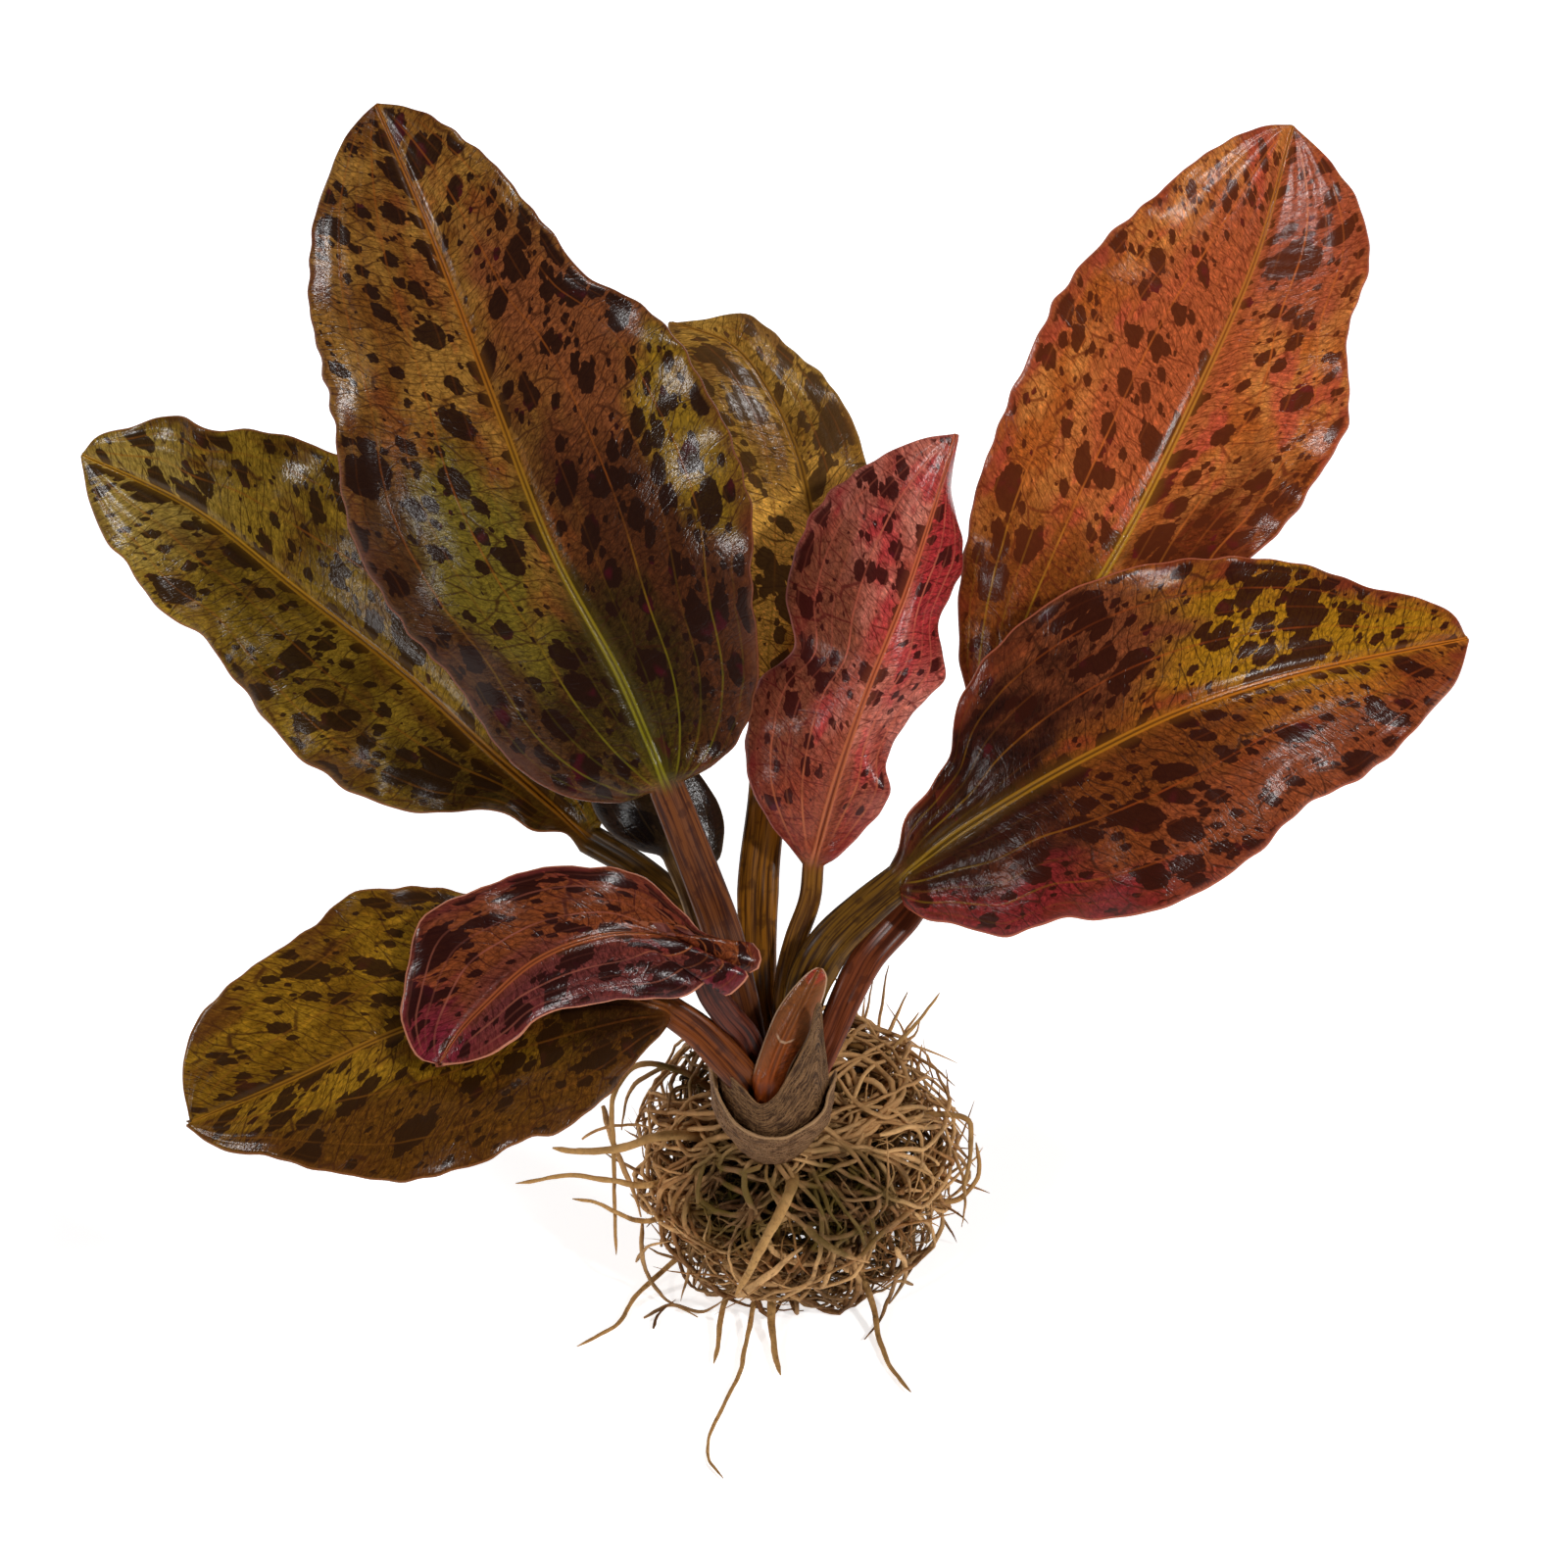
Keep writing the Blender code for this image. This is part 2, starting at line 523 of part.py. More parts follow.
def add_root_ball(collection):
    """The tangle of roots as one rounded mass with a flat underside."""
    shape = bmesh.new()
    bmesh.ops.create_uvsphere(shape, u_segments=BALL_SEGMENTS, v_segments=BALL_RINGS, radius=1.0)
    for vertex in shape.verts:
        x, y, z = vertex.co.normalized()
        size = ball_size(np.array((x, y, z)))
        across = math.hypot(x, y)
        fuller = across**-BALL_FULLNESS if z < 0 and across > 0.01 else 1.0
        vertex.co = (
            BALL_RADIUS_X * size * fuller * x * MM,
            BALL_RADIUS_Y * size * fuller * y * MM,
            max(0.0, BALL_MIDDLE + BALL_RADIUS_Z * size * z) * MM,
        )
    mesh = bpy.data.meshes.new("root_ball")
    shape.to_mesh(mesh)
    shape.free()
    mesh.materials.append(material("root_ball", (0.25, 0.17, 0.09), 0.85))
    mesh.shade_smooth()
    collection.objects.link(bpy.data.objects.new("root_ball", mesh))


def add_root(name, radius, points, collection, finish):
    """One loose root: a thin tube that tapers to its end."""
    count = 2 * len(points) - 1
    line = smooth_line(points, np.linspace(0.0, 1.0, count))
    curve = bpy.data.curves.new(name, "CURVE")
    curve.dimensions = "3D"
    curve.bevel_depth = radius * MM
    curve.bevel_resolution = 1
    curve.use_fill_caps = True
    spline = curve.splines.new("POLY")
    spline.points.add(count - 1)
    for step, point in enumerate(line):
        spline.points[step].co = (*(point * MM), 1.0)
        spline.points[step].radius = 1.0 - ROOT_END_TAPER * step / (count - 1)
    curve.materials.append(finish)
    collection.objects.link(bpy.data.objects.new(name, curve))


def main():
    for thing in list(bpy.data.objects):
        bpy.data.objects.remove(thing, do_unlink=True)
    plant = bpy.data.collections.new("amazon_sword_plant")
    bpy.context.scene.collection.children.link(plant)
    for name, leaf in LEAVES.items():
        add_leaf(name, leaf, plant)
    add_leaf("young_shoot", YOUNG_SHOOT, plant)
    add_crown(plant)
    add_sheath("old_sheath_inner", plant, INNER_SHEATH_EDGE, INNER_SHEATH_GAP, INNER_SHEATH_FOOT)
    add_sheath("old_sheath_outer", plant, OUTER_SHEATH_EDGE, OUTER_SHEATH_GAP, OUTER_SHEATH_FOOT)
    add_root_ball(plant)
    for name, (radius, points) in ROOTS.items():
        add_root(name, radius, points, plant, material(name, (0.4, 0.29, 0.16), 0.75))


main()
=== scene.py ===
"""Looks of the amazon sword plant: leaves, crown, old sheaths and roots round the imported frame.

Lengths in the tables are millimetres, and meshes are in metres. The leaves are laid out on a
sloping board that faces the camera, as in the CAD: "right" and "up" run along the board and
"near" stands out of it.
"""

import math
import random

import bmesh
import bpy
import numpy as np
from mathutils import Matrix, Vector


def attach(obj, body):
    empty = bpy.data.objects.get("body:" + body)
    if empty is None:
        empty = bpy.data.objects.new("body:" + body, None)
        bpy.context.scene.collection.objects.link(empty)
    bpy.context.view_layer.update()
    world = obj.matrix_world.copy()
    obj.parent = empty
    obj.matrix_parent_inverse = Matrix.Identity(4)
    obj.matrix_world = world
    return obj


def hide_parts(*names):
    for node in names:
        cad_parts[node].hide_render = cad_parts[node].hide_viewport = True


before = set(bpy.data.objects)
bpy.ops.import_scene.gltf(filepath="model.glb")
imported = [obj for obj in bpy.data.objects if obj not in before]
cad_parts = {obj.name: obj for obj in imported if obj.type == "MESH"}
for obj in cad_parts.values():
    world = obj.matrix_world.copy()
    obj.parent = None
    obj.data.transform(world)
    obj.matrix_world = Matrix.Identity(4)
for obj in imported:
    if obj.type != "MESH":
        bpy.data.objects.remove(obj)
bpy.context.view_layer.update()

MM = 0.001

# ---------------------------------------------------------------- camera and light
BOARD_TILT = 35.0
CAMERA_TARGET = (-2.04, 82.96, 40.0)
CAMERA_DISTANCE = 755.6
CAMERA_LENS = 100.0
CAMERA_SENSOR = 36.0

# ---------------------------------------------------------------- leaf sizes (millimetres)
STALK_FOOT = (-4.0, 21.2, 34.0)
STALK_BURIED = 8.0
ROW_SPACING = 0.75
COLUMN_SPACING = 0.85
RIB_CROWDING = 1.3
BLADE_THICK = 0.5
RIM_ROUNDNESS = 0.16
STALK_ROUNDNESS = 0.9
STALK_CHANNEL = 0.14
STALK_CROWN = 0.3
RIB_TAPER = 1.3
RIB_TIP_REACH = 1.0
SIDE_VEINS = (0.19, 0.38, 0.57, 0.74, 0.89)
VEIN_STRENGTHS = (0.2, 1.0, 0.3, 0.75, 0.2)
VEIN_PUFF = 0.09
CROSS_VEIN_RISE = 0.6
CROSS_VEIN_STEP = 2.7
CROSS_VEIN_DEPTH = 0.05
RIB_VALLEY = (0.55, 2.2)
RIB_RIDGES = (0.42, 0.5, 0.3)
OPENING_SHARE = 0.07
FEWEST_COLUMNS = 12
MARGINS_APART = 400.0
RUFFLE = 0.8
RUFFLE_LENGTH = 24.0
EDGE_WANDER = 0.24
EDGE_WANDER_LENGTH = 10.0
BOW = 0.12
FULL_RUFFLE_WIDTH = 14.0
SPOT_SIZES = ((8.2, 4.8, 0.57), (5.0, 2.9, 0.64), (2.7, 1.6, 0.8))
SPOT_SPLAY = 0.36
SPOT_CUT_LENGTH = 1.0
SPOT_CUT_WIDTH = 0.8
SPOT_RAGGEDNESS = 0.42
HALVES_APART = 57.0
LEAF_GLOSS = 0.15
GRAIN_LIGHT = (1.7, 1.6, 1.5, 1.0)
GRAIN_DARK = (0.5, 0.42, 0.4, 1.0)

# ---------------------------------------------------------------- crown and roots (millimetres)
CROWN_FOOT = (-4.0, -16.5, 33.0)
CROWN_LEAN = 11.0
SHEATH_THICK = 0.7
SHEATH_TURN = 1.6
SHEATH_ROWS = 46
SHEATH_OPENING = 8.5
SHEATH_RADIUS = 8.5
SHEATH_FLARE = 0.6
SHEATH_FOLDS = 0.2

BALL_RADIUS_X = 30.2
BALL_RADIUS_Y = 29.6
BALL_RADIUS_Z = 25.8
BALL_MIDDLE = 22.0
BALL_FULLNESS = 0.6
BALL_DENT_DEPTH = 0.39
BALL_DENT_ANGLE = 58.0
MOSS_PLACES = ((-11.0, -20.0, 27.0, 11.0), (8.0, -22.0, 27.0, 11.0), (-20.0, 3.0, 40.0, 8.0))
FLOOR_GAP = 0.1
FLOOR_CLEARANCE = 1.3
CROWN_CLEARANCE = 0.62
FREE_ENDS = 80
LOOSE_HAIRS = 50
WINDING_HAIRS = 420
OUTER_ROOTS = 230
INNER_ROOTS = 500
CROWN_ROOTS = 90
CROWN_ROOT_SPREAD = 85.0
# Shapes: shares of the ball's depth, degrees round the ball, radius and curl in degrees a step.
OUTER_ROOT_SHAPE = ((0.74, 0.97), (25.0, 90.0), (0.26, 0.58), 8.0)
INNER_ROOT_SHAPE = ((0.2, 0.86), (50.0, 140.0), (0.3, 0.6), 9.0)
CROWN_ROOT_SHAPE = ((60.0, 140.0), (0.28, 0.62), 9.0)
ROOT_STEP = 9.0
ROOT_TAPER = ((0.0, 0.15, 0.75, 1.0), (0.6, 1.0, 0.85, 0.2))
OUTSIDE_TAPER = ((0.0, 0.1, 0.6, 1.0), (0.6, 1.0, 0.85, 0.25))
FREE_END_TAPER = ((0.0, 0.7, 0.95, 1.0), (1.0, 0.8, 0.45, 0.12))
FREE_END_DEPTH = 0.7
CROWN_ROOT_RISE = 9.0
FRONT_ROOT_RISE = (3.6, 2.4)
ROOT_END_TAPER = 0.6
ROOT_BURIED = 0.6

# ---------------------------------------------------------------- surroundings
FLOOR_SIZE = 6000.0
FLOOR_GLOW = 0.66
HORIZON_LIGHT = 1.0
OVERHEAD_LIGHT = 0.09
LIGHT_DISTANCE = 2.2
PLANT_MIDDLE = (0.0, 0.0, 0.09)

# Each softbox: name, azimuth, elevation, size in metres and power in watts.
SOFTBOXES = (
    ("left_softbox", -100.0, 36.0, 0.2, 14.0),
    ("small_softbox", -38.0, 30.0, 0.12, 6.5),
    ("back_softbox", 145.0, 62.0, 0.2, 13.0),
    ("front_softbox", 52.0, 37.0, 0.22, 22.0),
)

# Radius inside the old sheaths at each height above the crown's foot.
SHEATH_PROFILE = [(0.0, 2.2), (3.0, 4.8), (7.0, 6.8), (11.0, 8.0), (16.0, 8.2), (34.0, 9.0)]

# Top edge of each old sheath: angle round the crown (270 is the front), height above its foot.
INNER_SHEATH_EDGE = [
    (160, 13.0), (188, 20.0), (212, 20.4), (238, 18.0), (257, 15.6), (274, 17.6), (292, 23.0),
    (308, 28.4), (322, 33.4), (334, 23.0), (350, 15.0), (375, 12.0),
]
OUTER_SHEATH_EDGE = [
    (165, 15.0), (185, 19.0), (215, 14.6), (245, 10.6), (275, 9.5), (305, 11.2), (335, 14.5),
    (360, 17.0), (380, 14.0),
]

# Each old sheath: top edge, gap round the crown, foot above the crown's foot, seed, its colours
# (sheet, fibres, torn rim) and the share of its height where the rim's colour starts.
OLD_SHEATHS = (
    ("inner_sheath", "old_sheath_inner", INNER_SHEATH_EDGE, 0.6, 5.0, 21,
     ((130, 95, 62), (52, 30, 14), (146, 108, 72)), 0.3),
    ("outer_sheath", "old_sheath_outer", OUTER_SHEATH_EDGE, 1.85, 1.0, 27,
     ((136, 100, 68), (72, 46, 27), (176, 138, 98)), 0.9),
)

# ---------------------------------------------------------------- leaves
# Each leaf: its stalk from the crown to the blade, the midrib on to the tip, and the blade's
# left and right margins, as (right, up, near) points. "wide" is half the stalk's width at the
# crown, halfway and at the blade. "waves" is the number, height and start of the ripples of
# the margins.
LEAVES = {
    "leaf_upper_left": dict(
        stalk=[
            (-6.7, 33.3, 36.2), (-8.2, 41, 39), (-10, 48, 42), (-12.5, 57, 46.5), (-17, 69.5, 50.5),
            (-22, 82.5, 54.5),
        ],
        rib=[
            (-29, 99.5, 59), (-40.5, 121, 61.5), (-51, 147.5, 59), (-62.5, 177, 48.5), (-73.5, 202, 32),
        ],
        left=[
            (-29.5, 80, 54.5), (-37.5, 80.5, 55.5), (-47, 85.5, 55.5), (-58.5, 101, 56),
            (-67, 110.5, 56), (-75.5, 125, 55.5), (-78.5, 143.5, 52), (-84, 169, 44), (-81.5, 189, 36),
            (-76.5, 199.5, 31.5),
        ],
        right=[
            (-17, 84.5, 54.5), (-11, 89, 53), (-6.5, 101.5, 53), (-7.5, 114.5, 54.5), (-8, 131.5, 55),
            (-15, 149.5, 53.5), (-26.5, 165, 52), (-35.5, 169.5, 52), (-42.5, 178, 49),
            (-56.5, 194, 41), (-69, 201.5, 34),
        ],
        wide=(2.3, 3.3, 3.0),
        waves=(4, 1.2, 0.4),
    ),
    "leaf_far_left": dict(
        stalk=[
            (-8.6, 35.6, 32.6), (-12, 46, 33), (-15, 55.5, 34.5), (-21, 63, 33.5), (-29.5, 69.5, 32.5),
            (-36.5, 73.5, 31),
        ],
        rib=[
            (-53.5, 88.5, 31.5), (-68.5, 102, 28.5), (-88.5, 117.5, 23.5), (-107.5, 132, 14),
            (-130, 143, 1),
        ],
        left=[
            (-40, 74, 31.5), (-46, 75, 33), (-51.5, 78, 32.5), (-66.5, 78, 31.5), (-80.5, 83, 29.5),
            (-90.5, 91, 27), (-97, 98.5, 24), (-106, 109.5, 19.5), (-114.5, 115, 16.5),
            (-120, 122.5, 12.5), (-126, 129.5, 8), (-129, 137.5, 3.5),
        ],
        right=[
            (-32.5, 77, 31), (-36.5, 90, 31.5), (-46.5, 110.5, 31.5), (-64.5, 133, 27.5),
            (-82, 141.5, 22), (-94.5, 146, 16.5), (-105.5, 146.5, 14), (-111.5, 149.5, 9),
            (-121, 147.5, 5), (-127.5, 146, 2),
        ],
        wide=(1.8, 2.2, 2.6),
        waves=(5, 1.0, 1.6),
    ),
    "leaf_back": dict(
        stalk=[
            (-4.2, 35.6, 32.6), (-5.8, 44, 35.2), (-6.5, 53, 38), (-6.5, 66, 38.5), (-5, 81, 37),
            (-4.5, 93.5, 36),
        ],
        rib=[
            (-0.5, 103.5, 34.5), (3, 117.5, 32), (2, 134.5, 27), (-4, 151.5, 19), (-11.5, 162, 12),
            (-22.5, 166.5, 6),
        ],
        left=[
            (-6.5, 94, 35), (-13.5, 103.5, 33.5), (-15, 117.5, 32), (-13.5, 131, 29.5),
            (-13.5, 144, 24.5), (-17.5, 154, 18), (-22.5, 162.5, 10.5),
        ],
        right=[
            (-2, 94, 35), (5.5, 100, 34.5), (13, 110.5, 32), (15, 124, 28.5), (12.5, 140, 23),
            (7.5, 152.5, 16.5), (-1.5, 162, 11), (-9.5, 168, 7), (-17, 167, 6),
        ],
        wide=(2.2, 3.5, 2.9),
        waves=(3, 0.8, 0.9),
    ),
    "leaf_middle_red": dict(
        stalk=[
            (-2.4, 34, 35.6), (-2.2, 44, 38.4), (-1.5, 50, 40.5), (0, 56, 41.5), (2.5, 63.5, 43),
            (3, 69, 43.5),
        ],
        rib=[(6, 80.5, 48), (11.5, 97, 52), (19, 116, 50), (24, 131, 44), (28, 144, 34)],
        left=[
            (0, 71, 44), (-3.5, 75, 45), (-8, 84, 46), (-8.5, 91, 45.5), (-6, 101, 45), (-0.5, 106, 46),
            (-1.5, 115, 44.5), (1.5, 127, 41.5), (7, 134.5, 39), (15, 140, 36.5), (23.5, 143.5, 34.5),
        ],
        right=[
            (6.5, 70, 45), (11.5, 75, 46.5), (16, 81, 48), (15.5, 87, 46.5), (20, 95, 46),
            (25.5, 101.5, 45), (24.5, 109.5, 45.5), (29, 122, 40.5), (27, 135, 36.5),
        ],
        wide=(1.4, 1.9, 1.7),
        waves=(5, 1.2, 0.0),
    ),
    "leaf_upper_right": dict(
        stalk=[
            (2.3, 31.4, 41.7), (6.2, 40, 42.8), (8.5, 45.5, 43.5), (12, 52.5, 43.5), (19.5, 61.5, 40.5),
            (27, 77, 39), (34, 89.5, 39),
        ],
        rib=[(42, 102, 39), (55, 122, 39), (70, 151, 34.5), (81.5, 176, 24), (90, 202, 7)],
        left=[
            (31.5, 93.5, 38.5), (29, 102, 37.5), (28.5, 113.5, 36.5), (31.5, 133.5, 35),
            (38.5, 152.5, 32), (48.5, 172, 27), (65, 188.5, 19), (77.5, 198.5, 12), (86, 202, 8),
        ],
        right=[
            (38.5, 89, 40.5), (50.5, 94, 43), (65.5, 103, 43.5), (78, 121.5, 41.5), (85, 128, 39),
            (91.5, 137.5, 36.5), (96.5, 145.5, 33), (97, 160.5, 27.5), (102.5, 180, 17.5),
            (97, 194.5, 10.5),
        ],
        wide=(2.2, 3.1, 2.4),
        waves=(4, 1.0, 2.2),
    ),
    "leaf_right": dict(
        stalk=[
            (-0.5, 31.5, 39.4), (0.5, 41, 42), (2.5, 49.5, 44.5), (6, 55.5, 46), (12, 61.5, 46.5),
            (18, 66.5, 47),
        ],
        rib=[
            (25, 72.5, 49), (34.5, 79, 52), (52, 89, 54), (64.5, 95, 54), (82.5, 101, 49.5),
            (100, 105, 42), (118, 108.5, 30),
        ],
        left=[
            (17.5, 71.5, 47.5), (18.5, 76, 48), (23.5, 83, 48.5), (26.5, 88, 48), (27.5, 95.5, 47.5),
            (34.5, 106.5, 47), (46, 115.5, 46.5), (57.5, 120, 45), (74, 122, 43.5), (90, 120.5, 39.5),
            (100.5, 117, 36), (110.5, 115, 33), (116, 112, 31),
        ],
        right=[
            (18.5, 62.5, 47.5), (21, 60.5, 48), (27.5, 59, 50), (36, 57, 52.5), (44, 60, 54.5),
            (52, 60, 56), (66, 63.5, 56.5), (78, 71, 55), (86.5, 79, 52.5), (98.5, 85, 47),
            (109, 94.5, 40.5), (116, 102, 34),
        ],
        wide=(2.3, 3.9, 2.9),
        waves=(5, 1.0, 0.8),
    ),
    "leaf_lower_left": dict(
        stalk=[
            (-7.2, 29.2, 42.3), (-9.2, 32.4, 45), (-12.6, 36.4, 46.8), (-16.9, 40.8, 48.8),
            (-21.2, 44, 50.5),
        ],
        rib=[
            (-28.5, 47, 55), (-42, 48.5, 60.5), (-55, 45.5, 64.5), (-68.5, 41, 68.5), (-83.5, 34, 71.5),
            (-101, 26.5, 72),
        ],
        left=[
            (-22.5, 41.5, 51.5), (-25.5, 38, 56.5), (-32, 30.5, 64.5), (-39, 25.5, 71), (-45, 24, 75),
            (-54, 20, 79.5), (-66.5, 18, 82.5), (-74, 19, 83), (-84.5, 21.5, 81.5), (-97, 23.5, 75.5),
        ],
        right=[
            (-22, 47.5, 49.5), (-29, 56, 48), (-42.5, 62.5, 51.5), (-57, 64.5, 55.5), (-68, 65.5, 58),
            (-76.5, 63.5, 60.5), (-82.5, 58, 62), (-91.5, 52, 65), (-97, 47, 67.5), (-100.5, 42.5, 69),
            (-102, 35, 71),
        ],
        wide=(2.7, 3.0, 2.5),
        waves=(4, 0.8, 1.0),
    ),
    "leaf_curled_red": dict(
        stalk=[
            (-6.8, 31, 39.4), (-6.9, 35.5, 42.6), (-8.4, 39.2, 45), (-11.5, 43, 48.5),
            (-14.5, 47.5, 52.5), (-16, 52, 55.5), (-16.5, 55, 57.5),
        ],
        rib=[
            (-20.5, 57, 59.5), (-27.5, 58, 62.5), (-35, 57, 66), (-43.5, 53.5, 69.5), (-51, 47, 72.5),
            (-56.5, 41, 74.5), (-59, 36.5, 76),
        ],
        left=[
            (-13.4, 52.8, 58.6), (-10, 52, 60), (-8.2, 50.8, 60.6), (-9, 49, 61), (-10.4, 47.9, 61.5),
            (-11.9, 47.4, 61.8), (-13, 48.9, 61), (-14.6, 49.8, 61), (-16.4, 48.7, 62),
            (-18.3, 47.6, 62.6), (-21, 47, 63.4), (-26, 47, 65.5), (-36, 46, 69.5), (-41, 45, 71.5),
            (-47, 40.5, 75), (-52.5, 37.5, 77),
        ],
        right=[
            (-13, 54, 57.5), (-9.5, 51.9, 58), (-7.2, 51.1, 58.5), (-6.1, 52.7, 58), (-6.3, 54.7, 57),
            (-7.5, 56, 56.5), (-9.5, 56, 56.3), (-12.5, 56.5, 56.3), (-17, 58.5, 56.5),
            (-19.5, 61.5, 56.5), (-27, 67.5, 56.5), (-35, 69, 57.5), (-46, 68, 59), (-54, 65, 62),
            (-62, 61, 66), (-65, 50.5, 71), (-65, 42.5, 74), (-62, 37.5, 76),
        ],
        wide=(1.7, 2.4, 2.1),
        waves=(3, 0.5, 0.5),
    ),
    "leaf_small_dark": dict(
        stalk=[
            (-10.8, 33.5, 35.5), (-12.3, 45, 36.1), (-14, 53, 37.5), (-16.5, 58, 39), (-19, 65, 40.5),
            (-21, 69.5, 40.5),
        ],
        rib=[(-22, 74.5, 42), (-25.5, 86.5, 42), (-28, 98.5, 39.5), (-29.5, 108.5, 35)],
        left=[
            (-23, 70, 40.5), (-27, 71.5, 41), (-33.5, 76, 40), (-36, 82, 39), (-35.5, 91.5, 38.5),
            (-33, 102, 37),
        ],
        right=[
            (-18, 69, 40.5), (-14, 69.5, 40.5), (-12.5, 74, 40), (-13.5, 79.5, 39), (-18.5, 87, 39),
            (-24, 100, 38.5),
        ],
        wide=(1.4, 1.6, 1.6),
        waves=(2, 0.5, 0.3),
    ),
}

YOUNG_SHOOT = dict(
    stalk=[(-5.4, 27.6, 44.4), (-5.1, 29.6, 45), (-4.7, 32, 45.8)],
    rib=[(-2.9, 37, 47.6), (0.3, 43.8, 48.9), (4.1, 51.4, 48)],
    left=[(-6.7, 35, 46), (-4.9, 40, 46.5), (-3, 44.3, 47.2), (0.2, 48.6, 47.4), (2.6, 50.9, 47.7)],
    right=[(-0.6, 35, 46.4), (1.8, 39, 46.9), (3.6, 43.6, 47.3), (5, 47.6, 47.5), (5.2, 50.2, 47.8)],
    wide=(1.4, 2.2, 2.8),
    waves=(1, 0.0, 0.0),
)

# Each root outside the ball: its radius and the points it follows, as (x, y, z).
ROOTS = {
    "root_front_long": (0.6, [
        (-8, -24, 2.3), (-9.5, -35.5, 0.8), (-13, -46.5, 0.8), (-15, -53, 0.8), (-15, -58, 0.8),
        (-12.5, -63, 0.7),
    ]),
    "root_front_thick": (1.1, [(-4.4, -25.8, 2.4), (-3.6, -32, 1.3), (-2.6, -38, 1.2)]),
    "root_front_short": (0.9, [(-13, -22.6, 2.4), (-13.6, -28.5, 1.1), (-14.5, -34.5, 1.0)]),
    "root_front_left": (0.7, [
        (-24.6, -13, 2.6), (-28.9, -17.1, 1.0), (-31.5, -24.2, 0.9), (-38.8, -30.1, 0.9),
    ]),
    "root_front_right": (0.8, [(14, -23, 3.2), (14.8, -28, 1.1), (16.5, -34.5, 0.9), (20, -42, 0.9)]),
    "root_back_left": (0.8, [(-16.2, 20.5, 3.2), (-19, 26, 1.2), (-25, 31, 0.9), (-29, 38, 0.9)]),
    "root_back_right": (0.8, [(12.8, 23, 3.2), (14, 28.5, 1.2), (12, 35, 0.9), (17, 42, 0.9)]),
    "root_left_thick": (1.2, [
        (-24, -11.5, 33.5), (-30, -15, 34), (-38, -17, 34.5), (-42.5, -17.5, 36),
    ]),
    "root_left_long": (0.8, [(-28, -14.5, 25), (-32, -17, 28), (-39, -19, 31), (-49, -22, 31.5)]),
    "root_left_bent": (0.7, [
        (-27.5, -16.2, 18), (-31.5, -19.5, 22.8), (-35, -20.5, 26), (-39, -21, 27.5),
    ]),
    "root_left_hanging": (0.7, [
        (-22, 1.5, 38.5), (-28, 0, 40.5), (-32, -4, 37.5), (-32.3, -9, 29.9), (-32, -16, 23.8),
        (-31.5, -23, 16.2),
    ]),
    "root_right_upper": (0.6, [(19.4, 7.3, 41), (22.2, 10.2, 42.8), (26, 14, 46)]),
    "root_right_loop": (0.8, [(28.4, -3.8, 32), (30.5, -4.8, 32), (31, -8, 28.5), (29.5, -14, 23)]),
    "root_right_side": (0.8, [(30.2, -7, 16), (32.8, -6, 20), (32.3, -2, 24.5)]),
    "root_back_hanging": (0.7, [(-3, 29.5, 30), (-5, 33, 26), (-3, 35, 19), (-6, 36, 12)]),
    "root_pale": (1.4, [(-1.6, -27.3, 32.4), (-6.8, -32, 23.6), (-10.4, -31.8, 14.5)]),
}

